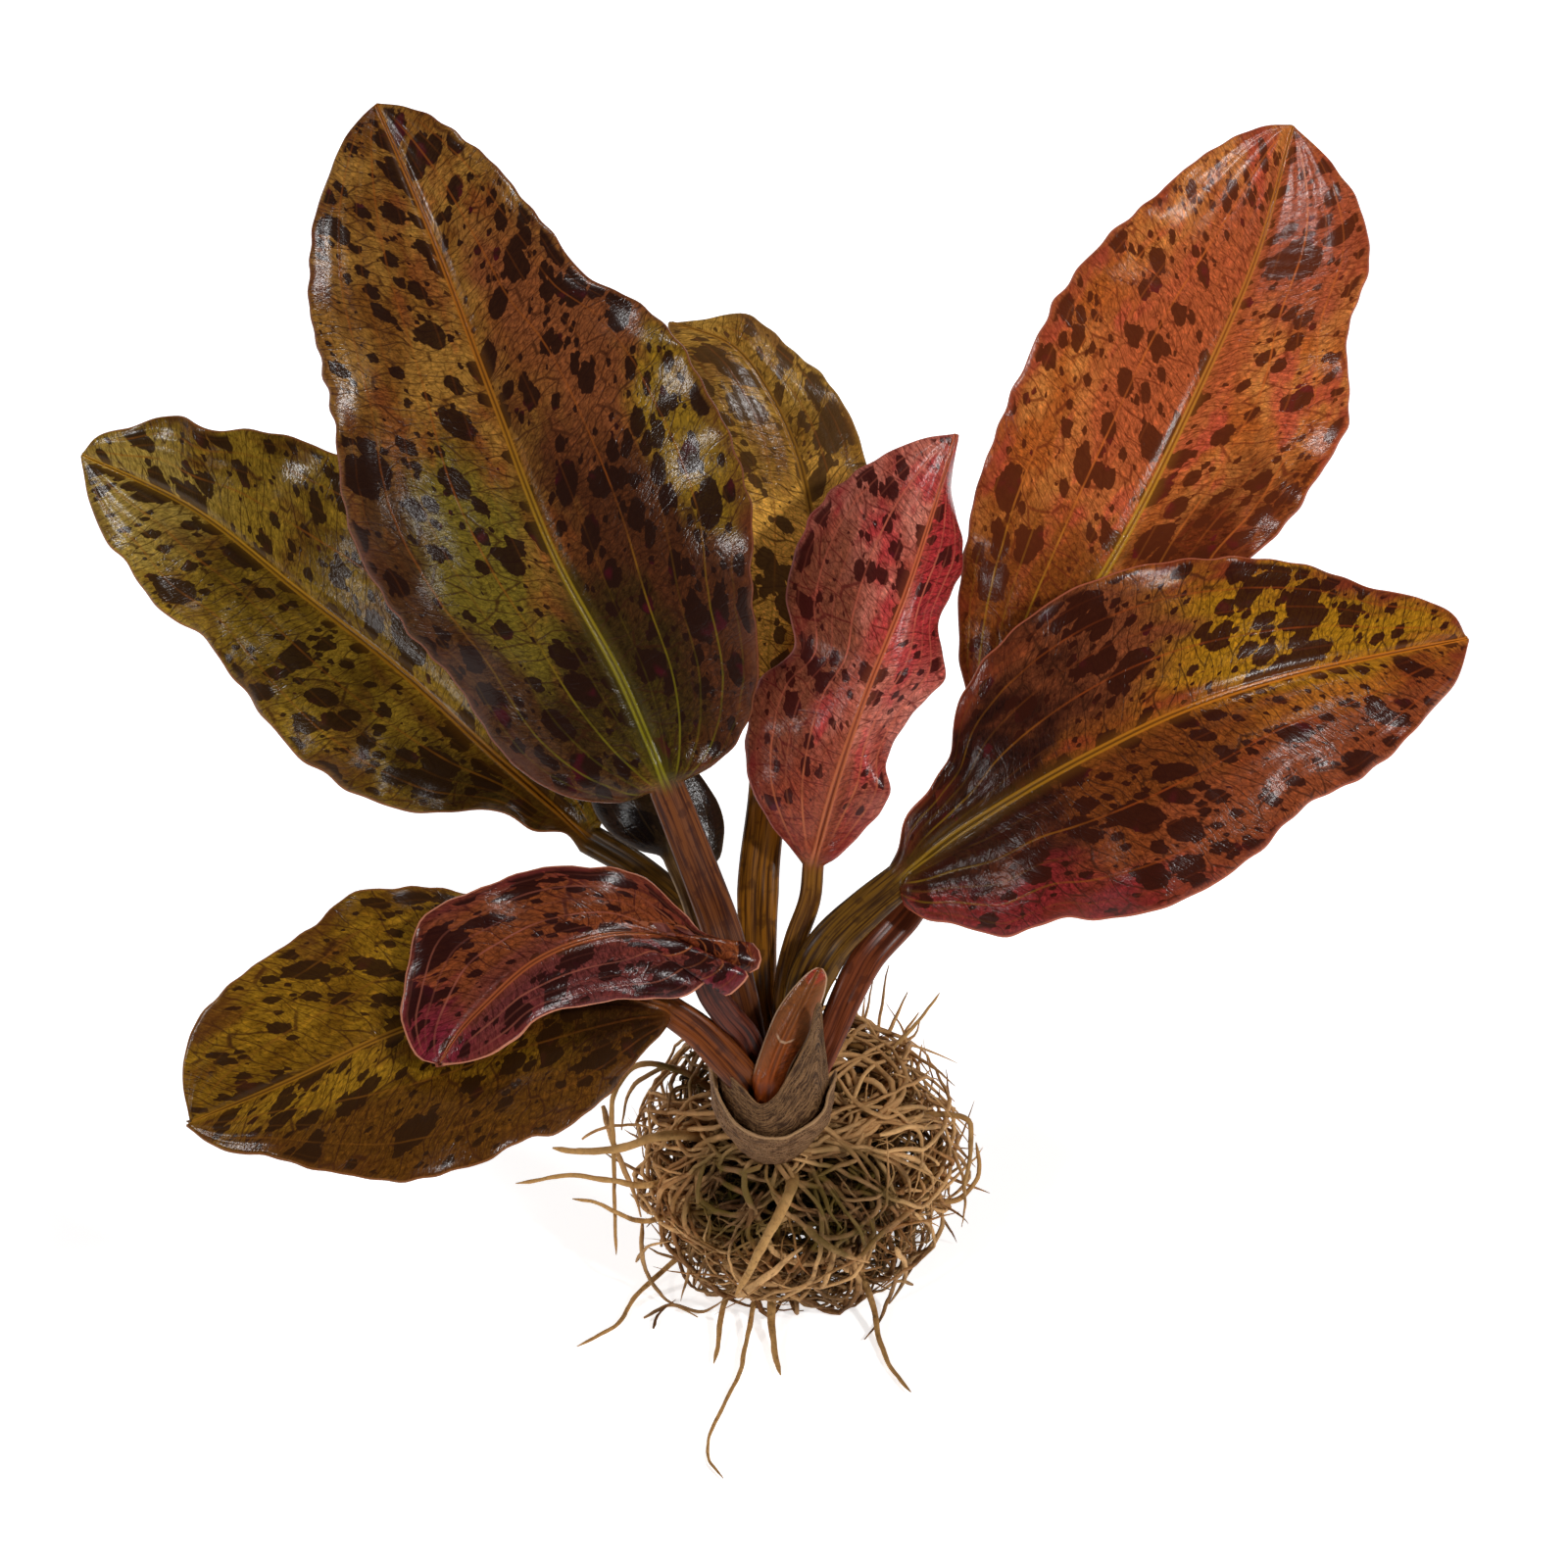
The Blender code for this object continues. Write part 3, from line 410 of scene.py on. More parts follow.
# Roots on the outside of the ball: the radius and the points each follows, as (right, up, near).
OUTSIDE_ROOTS = (
    (0.35, [(14.2, 32.2, 6), (15.2, 38.5, 4), (15.8, 43.8, 3), (16.9, 50, 3)]),
    (0.3, [(11.3, 34.5, 6), (12.8, 40.3, 4), (14.4, 47.7, 5)]),
    (0.42, [(15.4, 33.5, 8), (17.5, 39.2, 6), (20.2, 45.4, 6)]),
    (0.42, [(18.3, 32.9, 8), (20.1, 38.1, 6), (22.2, 41.5, 5)]),
    (0.4, [(20.1, 27.6, 8), (22.4, 32.3, 8), (23.1, 35.8, 8)]),
    (0.35, [(19.4, 27.9, 12), (22.6, 30.2, 12), (24.4, 31.6, 12)]),
    (0.3, [(11.9, 35.5, 2), (12.3, 39.5, 0), (12.9, 43.7, 0)]),
    (0.35, [(8.4, 34.3, 2), (10.2, 38.9, 0), (11.5, 41.9, 0)]),
    (0.38, [(14.1, 33.6, 10), (17.7, 35.9, 9), (21.8, 37.9, 9), (22.4, 40.6, 9)]),
    (0.55, [(14.8, 21.3, 32), (18.3, 22.4, 31.4), (23.4, 22.4, 24), (28, 22.9, 17), (28.6, 24.6, 15)]),
    (0.45, [(28.2, 23.3, 16), (28.3, 20.3, 16), (27.4, 17.3, 17), (24.6, 12.3, 22), (21.1, 9.3, 29)]),
    (0.45, [
        (23.4, 17.5, 17), (27.7, 17, 13), (30.3, 14.5, 11), (31.3, 11.9, 10), (30.5, 10.5, 11),
        (27.5, 8.7, 13), (23.7, 6.4, 16),
    ]),
    (0.4, [(21.1, 7.5, 30), (24.3, 3.1, 22), (24.6, 0.3, 19), (22, -2.2, 20)]),
    (0.5, [(25.3, 0, 14), (22.1, -2.2, 18), (18.5, -3.9, 23.6), (15, -6.4, 24)]),
    (0.35, [(20.9, -6.4, 18), (18.6, -5.4, 20), (15.6, -6.5, 23)]),
    (0.42, [(17.9, -4.1, 24), (16.3, -10.2, 17), (14.5, -13.2, 20.2), (12.4, -15.6, 23.4)]),
    (0.38, [(7.6, -10.8, 17.1), (6.4, -9.1, 19), (2.9, -5.6, 31.4)]),
    (0.38, [(-26.9, -12.2, 18.8), (-22.6, -10.5, 16.6), (-17.4, -11.5, 18), (-12.1, -8.2, 23.4)]),
    (0.3, [(-25.4, -14, 21), (-24.5, -11.7, 18.1), (-21.4, -9.5, 17)]),
    (0.5, [
        (-20.2, 32.5, 20.6), (-24.4, 31.9, 16), (-28.2, 29.6, 16), (-30.2, 26.3, 15), (-31.4, 20.7, 14),
    ]),
    (0.32, [(-37.9, 19.9, 20), (-34.7, 21.6, 20), (-30, 22.4, 20), (-23.5, 21.6, 25.1)]),
    (0.62, [(-34.7, 25.5, 16), (-33, 20.5, 18), (-30.5, 14.3, 20), (-27.5, 5.7, 17.4)]),
    (0.45, [
        (-27.3, 4.3, 16), (-27.3, -0.5, 19), (-26.1, -6.4, 15), (-22, -10.2, 16.3), (-17.3, -12.3, 19),
    ]),
    (0.34, [(-28.6, -2.8, 16), (-26.5, 0.2, 20), (-22.4, 2.1, 25.4)]),
    (0.4, [(-26.1, 24.2, 16), (-24.9, 28.6, 14), (-22.1, 32.5, 12)]),
    (0.55, [(-14.3, 17.1, 29.6), (-10.2, 15, 31.4), (-4.5, 13.4, 32.9), (1.7, 14.6, 33.4)]),
    (0.62, [(1.7, 21.4, 30.1), (6.3, 20.8, 31.6), (9.4, 18.8, 32.9), (13.1, 14.1, 34.6)]),
    (0.5, [(2.3, 17.3, 32.4), (4.5, 11.3, 35.1), (6, 8, 36.1), (7.9, 5.5, 36.6)]),
    (0.5, [(10.8, 17.2, 33.6), (5.7, 15.2, 33.9), (1.7, 13.5, 33.9)]),
    (0.7, [(1.4, 5.8, 36.1), (6.8, 1.9, 36.6), (12.8, -0.9, 32.1)]),
    (0.6, [(22.1, 9.1, 26), (15.9, 5, 34.4), (10.2, -0.1, 34.1), (4.6, -3, 33.4)]),
    (0.85, [(-10.3, -7.2, 26.6), (-4.5, -3, 33.4), (1.1, 2.4, 36.4)]),
    (0.45, [(-16, 17.6, 29.1), (-14.9, 19.3, 28.6), (-12.6, 22.1, 27.9)]),
    (0.5, [(-24.1, 18.5, 25.9), (-20.1, 23.7, 25.6), (-14.9, 26, 25.9)]),
    (0.45, [(-17.1, 9.3, 31.6), (-16.5, 14.3, 30.4), (-14.9, 19.3, 28.6)]),
    (0.55, [(17.7, 1.2, 30.1), (19.2, -5.1, 20), (16.9, -10.1, 17)]),
    (0.5, [(7.5, 31.2, 27.1), (10.9, 26.8, 29.6), (15.4, 24.6, 30.6), (21.6, 25.7, 24)]),
    (0.45, [(9.7, 26.8, 29.6), (12.6, 31.8, 26), (17.1, 34.1, 20), (20.7, 33.5, 14)]),
)


# ---------------------------------------------------------------- curves and placing
def board_axes():
    """The board's right, up and near directions in the world, as the columns of a matrix."""
    turn = math.radians(90.0 - BOARD_TILT)
    return np.array([
        (1.0, 0.0, 0.0),
        (0.0, math.cos(turn), -math.sin(turn)),
        (0.0, math.sin(turn), math.cos(turn)),
    ])


def run_along(points):
    """How far along a line each of its points is."""
    steps = np.linalg.norm(np.diff(points, axis=0), axis=1)
    return np.concatenate([[0.0], np.cumsum(steps)])


def smooth_values(at, places, knots):
    """Rows of a smooth curve that goes through the knots at their places."""
    slopes = np.gradient(knots, places, axis=0)
    piece = np.clip(np.searchsorted(places, at, side="right") - 1, 0, len(knots) - 2)
    span = (places[piece + 1] - places[piece])[:, None]
    t = (at - places[piece])[:, None] / span
    leaving = (2 * t**3 - 3 * t**2 + 1) * knots[piece] + (t**3 - 2 * t**2 + t) * span * slopes[piece]
    arriving = (3 * t**2 - 2 * t**3) * knots[piece + 1] + (t**3 - t**2) * span * slopes[piece + 1]
    return leaving + arriving


def smooth_line(points, fractions):
    """Points at the given fractions of the way along a smooth curve through the points."""
    knots = np.array(points, float)
    places = run_along(knots)
    return smooth_values(np.asarray(fractions) * places[-1], places, knots)


def unit(vectors):
    """The vectors at length one."""
    return vectors / np.linalg.norm(vectors, axis=-1, keepdims=True)


def bump(distance, width):
    """A smooth hill of height one and about this half width."""
    return np.exp(-((distance / width) ** 2))


def wander(values, seed, waves=5):
    """Smooth uneven waves between about -1 and 1 along the values, whose unit is one wave."""
    draw = random.Random(seed)
    total = np.zeros_like(values, dtype=float)
    for _ in range(waves):
        pace = draw.uniform(0.55, 1.9)
        total += np.sin(math.tau * (pace * values + draw.random()))
    return total / waves**0.5


# ---------------------------------------------------------------- meshes
def add_mesh(name, millimetres, faces, finish, marks=()):
    """A smooth mesh object from points in millimetres, with vectors kept at its points."""
    mesh = bpy.data.meshes.new(name)
    mesh.from_pydata((np.asarray(millimetres) * MM).tolist(), [], faces)
    for mark, values in marks:
        stored = mesh.attributes.new(mark, "FLOAT_VECTOR", "POINT")
        stored.data.foreach_set("vector", np.asarray(values, np.float32).ravel())
    mesh.materials.append(finish)
    mesh.shade_smooth()
    made = bpy.data.objects.new(name, mesh)
    bpy.context.scene.collection.objects.link(made)
    return made


def tube_faces(rings, around, closed_ends=True):
    """Faces of a skin over rings of points, one ring after another."""
    first = np.arange(rings - 1)[:, None] * around
    place = np.arange(around)[None, :]
    following = (place + 1) % around
    corners = [first + place, first + following, first + around + following, first + around + place]
    faces = np.stack(np.broadcast_arrays(*corners), axis=-1).reshape(-1, 4).tolist()
    if closed_ends:
        faces.append(list(range(around))[::-1])
        faces.append(list(range((rings - 1) * around, rings * around)))
    return faces


def turn_outwards(made):
    """Turns a mesh object's faces outwards."""
    shape = bmesh.new()
    shape.from_mesh(made.data)
    bmesh.ops.recalc_face_normals(shape, faces=shape.faces)
    shape.to_mesh(made.data)
    shape.free()


def settle(piece, nodes):
    """Puts a finished piece on the plant's one body, in place of its CAD nodes."""
    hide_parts(*nodes)
    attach(piece, "root")


# ---------------------------------------------------------------- leaf shape
def line_length(points):
    return float(np.linalg.norm(np.diff(points, axis=0), axis=1).sum())


def leaf_lines(leaf):
    """The middle, left and right lines of a leaf, and the number of rows on its stalk."""
    start = np.array(leaf["stalk"][0], float)
    stalk = [start + unit(STALK_FOOT - start) * STALK_BURIED, *leaf["stalk"]]
    stalk_rows = math.ceil(line_length(np.array(stalk)) / ROW_SPACING)
    blade_rows = math.ceil(line_length(np.array(leaf["rib"])) / ROW_SPACING)
    stalk_at = np.linspace(0.0, 1.0, stalk_rows + 1)
    blade_at = np.linspace(0.0, 1.0, blade_rows + 1)
    stalk = smooth_line(stalk, stalk_at)
    ahead = unit(np.gradient(stalk, axis=0))
    side = unit(np.cross(ahead, (0.0, 0.0, 1.0)))
    run = run_along(stalk)
    half = np.interp(run, (STALK_BURIED, (STALK_BURIED + run[-1]) / 2, run[-1]), leaf["wide"])[:, None]
    stalk_left = stalk - side * half
    stalk_right = stalk + side * half
    tip = np.array(leaf["rib"][-1], float)
    tip_side = side[-1] * BLADE_THICK
    rib = smooth_line([stalk[-1], *leaf["rib"]], blade_at)
    left = smooth_line([stalk_left[-1], *leaf["left"], tip - tip_side], blade_at)
    right = smooth_line([stalk_right[-1], *leaf["right"], tip + tip_side], blade_at)
    return (
        np.concatenate([stalk, rib[1:]]),
        np.concatenate([stalk_left, left[1:]]),
        np.concatenate([stalk_right, right[1:]]),
        stalk_rows,
    )


def vein_relief(reach, width, along, blade, seed):
    """How far the blade's upper face stands out between its veins, in millimetres."""
    off_rib = reach * width
    veins = (0.0, *SIDE_VEINS, 1.0)
    between = np.interp(reach, veins, range(len(veins))) % 1.0
    puff = VEIN_PUFF * np.sin(math.pi * between) ** 2
    slant = along - CROSS_VEIN_RISE * off_rib
    bend = 0.3 * wander(off_rib / 14.0, seed + 3) + 0.25 * wander(along / 23.0, seed + 4)
    cross = CROSS_VEIN_DEPTH * np.sin(math.tau * (slant / CROSS_VEIN_STEP + bend))
    cross *= np.sin(math.pi * np.clip(reach * 1.1, 0.0, 1.0))
    slender = 1.0 - 0.6 * blade
    valley_depth, valley_width = RIB_VALLEY
    ridge_height, ridge_place, ridge_width = RIB_RIDGES
    valley = valley_depth * bump(off_rib, valley_width * slender)
    ridges = ridge_height * bump(off_rib - ridge_place * slender, ridge_width * slender) * slender
    narrow = np.clip(width / 12.0, 0.0, 1.0)
    return (puff + cross - valley) * narrow + ridges


def leaf_rows(leaf, seed):
    """The upper and lower faces of a leaf as rows of points, and what its finish reads there."""
    middle, left, right, stalk_rows = leaf_lines(leaf)
    rows = len(middle)
    blade = np.clip((np.arange(rows) - stalk_rows) / (rows - 1 - stalk_rows), 0.0, 1.0)[:, None]
    left_width = np.linalg.norm(left - middle, axis=1)
    right_width = np.linalg.norm(right - middle, axis=1)
    widest = max(left_width.max(), right_width.max())
    columns = max(FEWEST_COLUMNS, round(widest / COLUMN_SPACING))
    even = np.linspace(-1.0, 1.0, 2 * columns + 1)[None, :]
    on_left = even < 0
    spread = np.clip(blade / OPENING_SHARE, 0.0, 1.0)
    spread = spread * spread * (3 - 2 * spread)
    crowded = np.sign(even) * np.abs(even) ** RIB_CROWDING
    out = np.sin(even * math.pi / 2) * (1 - spread) + crowded * spread
    reach = np.abs(out)
    width = np.where(on_left, left_width[:, None], right_width[:, None])
    edge = np.where(on_left[..., None], (left - middle)[:, None], (right - middle)[:, None])
    run = np.where(on_left, run_along(left)[:, None], run_along(right)[:, None] + MARGINS_APART)
    along = run_along(middle)
    along = (along - along[stalk_rows])[:, None] + 0.0 * out
    full = np.sin(math.pi * blade)
    number, height, start = leaf["waves"]
    ripple = np.sin(math.tau * number * blade + start + np.where(on_left, -1.0, 1.0))
    lift = height * reach**2 * ripple * full + BOW * width * reach * (1 - reach**3) * spread
    broad = min(1.0, width.max() / FULL_RUFFLE_WIDTH) ** 2
    lift = lift + broad * RUFFLE * reach**3 * full**0.5 * wander(run / RUFFLE_LENGTH, seed)
    points = middle[:, None] + reach[..., None] * edge
    points[..., 2] += lift
    stray = broad * EDGE_WANDER * reach**5 * full**0.5 * wander(run / EDGE_WANDER_LENGTH, seed + 1)
    points += unit(edge) * stray[..., None]
    facing = unit(np.cross(np.gradient(points, axis=1), np.gradient(points, axis=0)))

    off_rib = reach * width
    relief = vein_relief(reach, width, along, blade, seed) * spread
    rounding = STALK_CROWN * np.sqrt(np.clip(1 - reach**2, 0.0, 1.0)) - STALK_CHANNEL * bump(reach, 0.4)
    relief = relief + rounding * width * (1 - spread)
    throat = leaf["wide"][-1]
    rib_half = np.where(blade > 0, throat + (RIB_TIP_REACH - throat) * blade, width)
    rib_depth = STALK_ROUNDNESS * np.where(blade > 0, throat * (1 - blade) ** RIB_TAPER, width)
    inside = np.clip(1 - (off_rib / rib_half) ** 2, 0.0, 1.0)
    ribs_below = sum(bump(off_rib - vein * width, 0.4) for vein in SIDE_VEINS) * 0.12 * spread
    thick = BLADE_THICK * (1 - 0.4 * reach**3)
    upper = points + facing * (thick / 2 + relief)[..., None]
    below = thick / 2 - relief * spread + rib_depth * np.sqrt(inside) + ribs_below
    lower = points - facing * below[..., None]
    place = np.stack([out * width, along, np.ones_like(out)], axis=-1)
    share = np.stack([out, blade + 0.0 * out, width], axis=-1)
    outward = unit(np.stack([left - middle, right - middle], axis=1))
    return upper, lower, outward, place, share


def add_leaf(name, leaf, finish, seed):
    """One leaf as a closed skin: blade, midrib, side veins, ruffled margins and rounded stalk."""
    upper, lower, outward, place, share = leaf_rows(leaf, seed)
    rims = (upper[:, [0, -1]] + lower[:, [0, -1]]) / 2 + outward * RIM_ROUNDNESS
    rings = np.concatenate([upper, rims[:, 1:], lower[:, ::-1], rims[:, :1]], axis=1)
    below = place[:, ::-1] * (1.0, 1.0, 0.0)
    rim_place = place[:, [0, -1]] * (1.0, 1.0, 0.5)
    places = np.concatenate([place, rim_place[:, 1:], below, rim_place[:, :1]], axis=1)
    shares = np.concatenate([share, share[:, -1:], share[:, ::-1], share[:, :1]], axis=1)
    count, around = rings.shape[:2]
    marks = [("leaf_place", places), ("leaf_share", shares)]
    points = rings.reshape(-1, 3) @ board_axes().T
    made = add_mesh(name, points, tube_faces(count, around), finish, marks)
    turn_outwards(made)
    return made


# ---------------------------------------------------------------- making node trees
def shade(red, green, blue):
    """A colour given as a painter's 0 to 255 values, as the shader wants it."""
    parts = [value / 255 for value in (red, green, blue)]
    linear = [((part + 0.055) / 1.055) ** 2.4 if part > 0.04045 else part / 12.92 for part in parts]
    return (*linear, 1.0)


def find_socket(sockets, key):
    """The socket with this place, identifier or name that is in use."""
    if isinstance(key, int):
        return sockets[key]
    named = [socket for socket in sockets if key in (socket.identifier, socket.name)]
    return [socket for socket in named if socket.enabled][0]


def math_method(operation, reflected=False):
    """A method that adds a Math node with this operation."""
    def method(number, *others):
        values = (*others, number) if reflected else (number, *others)
        return number.graph.add("ShaderNodeMath", dict(enumerate(values)), operation=operation)
    return method


class Number:
    """A number in a node tree. Arithmetic on it adds Math nodes."""

    __add__ = __radd__ = math_method("ADD")
    __sub__ = math_method("SUBTRACT")
    __rsub__ = math_method("SUBTRACT", reflected=True)
    __mul__ = __rmul__ = math_method("MULTIPLY")
    __truediv__ = math_method("DIVIDE")
    __pow__ = math_method("POWER")
    __abs__ = math_method("ABSOLUTE")
    sign = math_method("SIGN")
    most = math_method("MAXIMUM")

    def __init__(self, graph, socket):
        self.graph = graph
        self.socket = socket

    def rise(self, low, high, start=0.0, end=1.0):
        """Goes smoothly from start to end while this goes from low to high."""
        sockets = {"Value": self, "From Min": low, "From Max": high, "To Min": start, "To Max": end}
        return self.graph.add("ShaderNodeMapRange", sockets, interpolation_type="SMOOTHSTEP")


class Graph:
    """A node tree in the making."""

    def __init__(self, tree):
        self.tree = tree

    def add(self, kind, sockets=None, output=0, **settings):
        """Adds a node with its settings, then its sockets' values or links. Gives one output."""
        node = self.tree.nodes.new(kind)
        for setting, value in settings.items():
            setattr(node, setting, value)
        for key, value in (sockets or {}).items():
            self.put(find_socket(node.inputs, key), value)
        found = find_socket(node.outputs, output)
        return Number(self, found) if found.type == "VALUE" else found

    def put(self, socket, value):
        """Sets a socket, or links it to what the value comes from."""
        if isinstance(value, Number):
            self.tree.links.new(value.socket, socket)
        elif isinstance(value, bpy.types.NodeSocket):
            self.tree.links.new(value, socket)
        else:
            socket.default_value = value

    def vector(self, x, y, z=0.0):
        return self.add("ShaderNodeCombineXYZ", {"X": x, "Y": y, "Z": z})

    def parts(self, vector):
        """The three numbers of a vector."""
        node = self.tree.nodes.new("ShaderNodeSeparateXYZ")
        self.tree.links.new(vector, node.inputs[0])
        return [Number(self, socket) for socket in node.outputs]

    def noise(self, vector, scale=1.0, detail=2.0, roughness=0.5, output="Fac", **settings):
        sockets = {"Vector": vector, "Scale": scale, "Detail": detail, "Roughness": roughness}
        return self.add("ShaderNodeTexNoise", sockets, output, **settings)


class Finish(Graph):
    """A material in the making, round a Principled shader."""

    def __init__(self, name):
        self.material = bpy.data.materials.new(name)
        self.material.use_nodes = True
        super().__init__(self.material.node_tree)
        self.shader = self.tree.nodes["Principled BSDF"]

    def mark(self, name):
        """A vector kept at the mesh's points."""
        return self.add("ShaderNodeAttribute", output="Vector", attribute_name=name)

    def amount(self, name):
        """A number kept at the mesh's points."""
        return self.add("ShaderNodeAttribute", output="Fac", attribute_name=name)

    def own_place(self):
        """The object's own coordinates, in millimetres."""
        own = self.add("ShaderNodeTexCoord", output="Object")
        return self.add("ShaderNodeVectorMath", {0: own, "Scale": 1 / MM}, operation="SCALE")

    def cells(self, vector, output, feature="F1", randomness=1.0):
        """Irregular flat cells of about unit size."""
        sockets = {"Vector": vector, "Scale": 1.0, "Randomness": randomness}
        settings = {"voronoi_dimensions": "2D", "feature": feature}
        return self.add("ShaderNodeTexVoronoi", sockets, output, **settings)

    def net(self, x, y):
        """How far a place is from the lines of an irregular net of about unit size."""
        return self.cells(self.vector(x, y), "Distance", "DISTANCE_TO_EDGE")

    def mottle(self, x, y, z=0.0, detail=2.0, roughness=0.5):
        """Soft noise of about unit size."""
        return self.noise(self.vector(x, y, z), detail=detail, roughness=roughness)

    def mix(self, factor, first, second, blend="MIX"):
        """The first colour going over to the second."""
        sockets = {"Factor_Float": factor, "A_Color": first, "B_Color": second}
        return self.add("ShaderNodeMix", sockets, "Result_Color", data_type="RGBA", blend_type=blend)

    def cover(self, colour, *layers):
        """The colour under layers, each given as how much it covers and its own colour."""
        for share, layer in layers:
            colour = self.mix(share, colour, layer)
        return colour

    def relief(self, height, depth):
        """Small relief of this depth in millimetres, for a height from 0 to 1."""
        sockets = {"Strength": 1.0, "Distance": depth * MM, "Height": height}
        self.put(self.shader.inputs["Normal"], self.add("ShaderNodeBump", sockets))

    def surface(self, colour, roughness, **constants):
        """Links the colour and roughness, and sets the rest as plain values."""
        self.put(self.shader.inputs["Base Color"], colour)
        self.put(self.shader.inputs["Roughness"], roughness)
        for words, value in constants.items():
            label = words.replace("_", " ").title().replace("Ior", "IOR")
            self.shader.inputs[label].default_value = value
        return self.material


# ---------------------------------------------------------------- leaf finish
def blotches(leaf, along, across, seed, covered):
    """Dark compact blotches of three sizes, with cut edges, that splay out towards the tip."""
    splayed = across - across.sign() * (along * SPOT_SPLAY + HALVES_APART)
    corner = leaf.vector(along / SPOT_CUT_LENGTH + seed * 7.3, splayed / SPOT_CUT_WIDTH)
    cut_along, cut_across, _ = leaf.parts(leaf.cells(corner, "Position", randomness=0.9))
    cut_along = (cut_along - seed * 7.3) * SPOT_CUT_LENGTH
    cut_across = cut_across * SPOT_CUT_WIDTH
    at_along = along + (cut_along - along) * SPOT_RAGGEDNESS
    at_across = splayed + (cut_across - splayed) * SPOT_RAGGEDNESS
    crowded = leaf.mottle(along / 22.0, splayed / 13.0, seed + 40.0, 1.0) - 0.5
    spotted = along * 0.0
    for length, width, rarity in SPOT_SIZES:
        place = leaf.vector(at_along / length + seed * 5.1, at_across / width + length)
        chance, lumpy, _ = leaf.parts(leaf.cells(place, "Color"))
        size = (chance - rarity + (covered - 0.5) * 0.9 + crowded * 0.9).rise(-0.25, 0.45, 0.0, 0.5)
        edge = size * (0.75 + lumpy * 0.5) - leaf.cells(place, "Distance")
        spotted = spotted.most(edge.rise(-0.015, 0.02))
    return spotted


